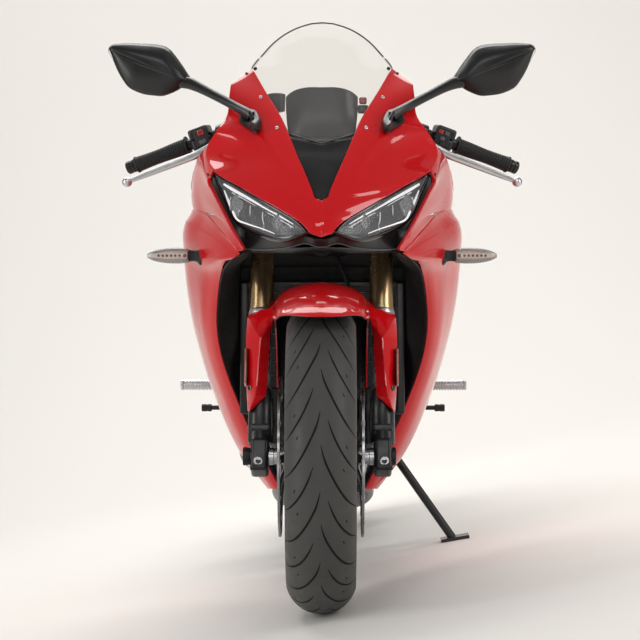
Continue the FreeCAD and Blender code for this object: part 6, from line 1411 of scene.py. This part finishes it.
def cushion(name, secs, node, shrink, cap_mm, pressure, ends):
    from mathutils.bvhtree import BVHTree
    R = []
    ys = [q[0] for q in secs]
    for y, half in secs:
        cz = sum(p[1] for p in half) / len(half)
        wx = max(p[0] for p in half)
        loop = [(x, z) for x, z in half] + [(-x, z) for x, z in half[-2:0:-1]]
        R.append([(x * (wx - shrink) / wx, y, cz + (z - cz) * 0.86) for x, z in loop])
    # rounded ends
    first = [(x * 0.86, ys[0] - 0.0, z) for x, _, z in R[0]]
    last = [(x * 0.86, ys[-1] + 0.0, z) for x, _, z in R[-1]]
    R[0] = [(x, y + ends, z) for x, y, z in R[0]]
    R[-1] = [(x, y - ends, z) for x, y, z in R[-1]]
    o = rings(name, [first] + R + [last], SEAT, slot="seat_vinyl", nr=5, nc=4, repl=node, sharp=180)
    dg = bpy.context.evaluated_depsgraph_get

    def settle():
        e = o.evaluated_get(dg())
        me = bpy.data.meshes.new_from_object(e, depsgraph=dg())
        old = o.data
        o.modifiers.clear()
        o.data = me
        bpy.data.meshes.remove(old)
        me.name = name

    m = o.modifiers.new("remesh", "REMESH")
    m.mode, m.voxel_size, m.use_smooth_shade = "VOXEL", 0.0055, True
    settle()
    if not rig.quick():
        base = np.array([v.co for v in o.data.vertices])
        c = o.modifiers.new("cloth", "CLOTH")
        st = c.settings
        st.quality, st.mass, st.use_pressure, st.uniform_pressure_force = 6, 0.25, True, pressure
        st.tension_stiffness = st.compression_stiffness = 22.0
        st.shear_stiffness, st.bending_stiffness = 12.0, 1.2
        st.effector_weights.gravity = 0.0
        c.collision_settings.use_self_collision = False
        c.point_cache.frame_start, c.point_cache.frame_end = 1, 20
        for f_ in range(1, 21):
            scene.frame_set(f_)
        e = o.evaluated_get(dg())
        now = np.array([v.co for v in e.data.vertices])
        if len(now) == len(base) and np.isfinite(now).all():
            d = now - base
            ln = np.linalg.norm(d, axis=1, keepdims=True)
            now = base + d * np.minimum(1.0, cap_mm / 1000.0 / np.maximum(ln, 1e-9))
        else:
            now = base
        o.modifiers.clear()
        scene.frame_set(1)
        o.data.vertices.foreach_set("co", now.reshape(-1))
        o.data.update()
    # ease the voxel steps, then one subdivision
    m = o.modifiers.new("ease", "SMOOTH")
    m.factor, m.iterations = 0.5, 4
    m = o.modifiers.new("sub", "SUBSURF")
    m.levels = m.render_levels = 1
    settle()
    o.data.materials.clear()
    o.data.materials.append(SEAT)
    for pol in o.data.polygons:
        pol.use_smooth = True
    co = [Vector(v.co) * 1000 for v in o.data.vertices]
    tree = BVHTree.FromPolygons(co, [tuple(p.vertices) for p in o.data.polygons])
    ya, yb = min(p.y for p in co) + 6, max(p.y for p in co) - 6
    half_at = lambda y: float(np.interp(y, ys, [max(p[0] for p in h) for _, h in secs]))
    mid_at = lambda y: float(np.interp(y, ys, [0.5 * (h[3][1] + h[4][1]) for _, h in secs]))

    def hit(p, d):
        r = tree.ray_cast(Vector(p), Vector(d), 400)
        return r[0]

    # welt along each flank's shoulder
    for s, tag in ((1, "l"), (-1, "r")):
        line = []
        for y in np.linspace(ya + 4, yb - 4, 26):
            q = hit((s * (half_at(y) + 60), y, mid_at(y)), (-s, 0, 0))
            if q is not None:
                line.append((q.x + s * 0.1, q.y, q.z))
        if len(line) > 6:
            sweep(name + "_welt_" + tag, line, 1.7, SEAT, slot="seat_vinyl", segs=10, smooth=2)
            for dz in (4.2,):
                L2 = []
                for y in np.linspace(ya + 6, yb - 6, 26):
                    q = hit((s * (half_at(y) + 60), y, mid_at(y) + dz), (-s, 0, 0))
                    if q is not None:
                        L2.append((q.x - s * 0.2, q.y, q.z))
                if len(L2) > 6:
                    sweep(name + "_stitch_" + tag, L2, 0.6, BLACKM, slot="seat_vinyl", segs=6, smooth=2)
    # sewn channels across the top
    for q_, y in enumerate(np.linspace(ya, yb, 5)[1:-1]):
        L2 = []
        for x in np.linspace(-0.80, 0.80, 21):
            q = hit((x * half_at(y), y + 10 * (1 - x * x), 1200), (0, 0, -1))
            if q is not None:
                L2.append((q.x, q.y, q.z - 0.1))
        if len(L2) > 6:
            sweep("%s_channel%d" % (name, q_), L2, 1.0, BLACKM, slot="seat_vinyl", segs=8, smooth=2)
    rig.padded(o, 0.85)
    return o


cushion("rider_cushion", RIDER, "rider_seat", 7.0, 6.0, 4.0, 14)
cushion("pillion_cushion", PILLION, "pillion_seat", 6.0, 5.0, 4.0, 12)

tyre_mesh("tyre_rear", Vector((0, 1400, 305.3)), 305.0, 82.0, 247.0, 63.8, 223.0, "rear_wheel", "tyre", "rear_tyre", 13)
disc_mesh("rear_disc", Vector((0, 1400, 305.3)), -88.0, 110.0, 80.0, 4.6, "rear_wheel", "disc_steel", -85.2, 50, repl="rear_brake_disc", arms=5)

# ------------------------------------------------------------------ everything not rebuilt here keeps its CAD shape and gets a finish
DRESS = {
    "main_frame": FRAME, "engine": ENGINE, "radiator": BLACKM, "exhaust": STEEL, "swingarm": FRAME, "rear_axle": STEEL, "drive_chain": CHAINM, "rear_caliper": BLACK, "rear_hugger": BLACK,
    "rear_shock": BLACK, "subframe": FRAME, "fuel_tank": RED, "fuel_lid": ALU, "tail_fairing": RED, "tail_lamp": REDLENS, "plate_hanger": BLACK,
    "turn_signals": CLEARL, "belly_pan": BLACK, "instrument_cluster": BLACK, "cowl_stay": BLACK, "mirrors": BLACK, "mirror_glass": MIRRORM, "footrests": ALU, "foot_controls": ALU, "side_stand": BLACK,
    "rear_rim": BLACKG, "rear_sprocket": DISC, "front_reflectors": AMBER, "lower_triple_clamp": BLACK, "upper_triple_clamp": BLACK,
}
for nm, mt in DRESS.items():
    o = frame["nodes"].get(nm)
    if o is None:
        continue
    o.data.materials.clear()
    o.data.materials.append(mt)

# ------------------------------------------------------------------ stage: floor sweep, lights, camera
def paper(name, base, rough):
    return surface(name, base, 0.0, rough, 0.04, 0.01, 3, 0.02, 60, 0.0004, spec=0.25)


FLOORM = paper("backdrop", (0.865, 0.845, 0.81), 0.7)
# seen from behind, the backdrop lets the view through
nt_ = FLOORM.node_tree
out_ = [n for n in nt_.nodes if n.type == "OUTPUT_MATERIAL"][0]
src_ = out_.inputs["Surface"].links[0].from_socket
geo_ = nt_.nodes.new("ShaderNodeNewGeometry")
tr_ = nt_.nodes.new("ShaderNodeBsdfTransparent")
mx_ = nt_.nodes.new("ShaderNodeMixShader")
nt_.links.new(geo_.outputs["Backfacing"], mx_.inputs[0])
nt_.links.new(src_, mx_.inputs[1])
nt_.links.new(tr_.outputs[0], mx_.inputs[2])
nt_.links.new(mx_.outputs[0], out_.inputs["Surface"])
V, F = [], []
ys = [(-3.9, 0), (2.2, 0)] + [(2.2 + 1.6 * math.sin(a), 1.6 - 1.6 * math.cos(a)) for a in np.linspace(0, math.pi / 2, 24)[1:]] + [(3.8, 9.0)]
for y, z in ys:
    for x in (-9.0, 9.0):
        V.append((x * 1000, y * 1000, z * 1000 - 0.4))
for i in range(len(ys) - 1):
    F.append((2 * i, 2 * i + 1, 2 * i + 3, 2 * i + 2))
me = bpy.data.meshes.new("backdrop")
me.from_pydata([(a / 1000, b / 1000, c / 1000) for a, b, c in V], [], F)
for pol in me.polygons:
    pol.use_smooth = True
me.materials.append(FLOORM)
floor = bpy.data.objects.new("backdrop", me)
scene.collection.objects.link(floor)
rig.stage(floor)


def lamp(name, loc, target, sx, sy, power, col=(1, 1, 1)):
    d = bpy.data.lights.new(name, "AREA")
    d.shape = "RECTANGLE"
    d.size, d.size_y = sx, sy
    d.energy = power
    d.color = col
    o = bpy.data.objects.new(name, d)
    scene.collection.objects.link(o)
    o.location = loc
    o.rotation_euler = (Vector(target) - Vector(loc)).to_track_quat("-Z", "Y").to_euler()
    return o


lamp("key_top", (0.0, 1.0, 3.2), (0, 0.1, 0.7), 3.0, 1.5, 70, (1.0, 0.985, 0.96))
lamp("left_wall", (2.7, -1.7, 1.5), (0, -0.3, 0.6), 0.8, 2.6, 34, (1.0, 0.98, 0.955))
lamp("right_wall", (-2.7, -1.7, 1.5), (0, -0.3, 0.6), 0.8, 2.6, 34, (1.0, 0.99, 0.98))
lamp("front_low", (0.0, -4.6, 0.9), (0, -0.3, 0.5), 0.5, 1.6, 12)
lamp("front_high", (0.0, -3.4, 3.0), (0, -0.4, 0.4), 3.0, 0.5, 22)
lamp("back_wash", (0.0, 1.8, 3.6), (0, 3.6, 1.4), 6.0, 1.0, 60)

w = bpy.data.worlds.new("studio")
scene.world = w
w.use_nodes = True
w.node_tree.nodes["Background"].inputs[0].default_value = (0.95, 0.94, 0.92, 1)
w.node_tree.nodes["Background"].inputs[1].default_value = 0.22

cam_d = bpy.data.cameras.new("view")
cam_d.sensor_width = 36.0
cam_d.lens = 121.5
cam = bpy.data.objects.new("view", cam_d)
scene.collection.objects.link(cam)
# upright-frame camera at 4 m ahead of the front axle and 0.6 m up, tipped down 0.82 degrees, rolled with the machine
C = Matrix.Translation((0.0217, -4.0, 0.6)) @ Matrix.Rotation(math.radians(0.347), 4, "Z") @ Matrix.Rotation(math.radians(90 - 0.82), 4, "X")
cam.matrix_world = LEAN @ C
scene.camera = cam

scene.view_settings.view_transform = "Standard"
scene.view_settings.look = "None"
lo_v, hi_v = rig.bounds()
json.dump({"before": [list(map(float, lo_cad)), list(map(float, hi_cad))], "after": [list(map(float, lo_v)), list(map(float, hi_v))]}, open("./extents.json", "w"))
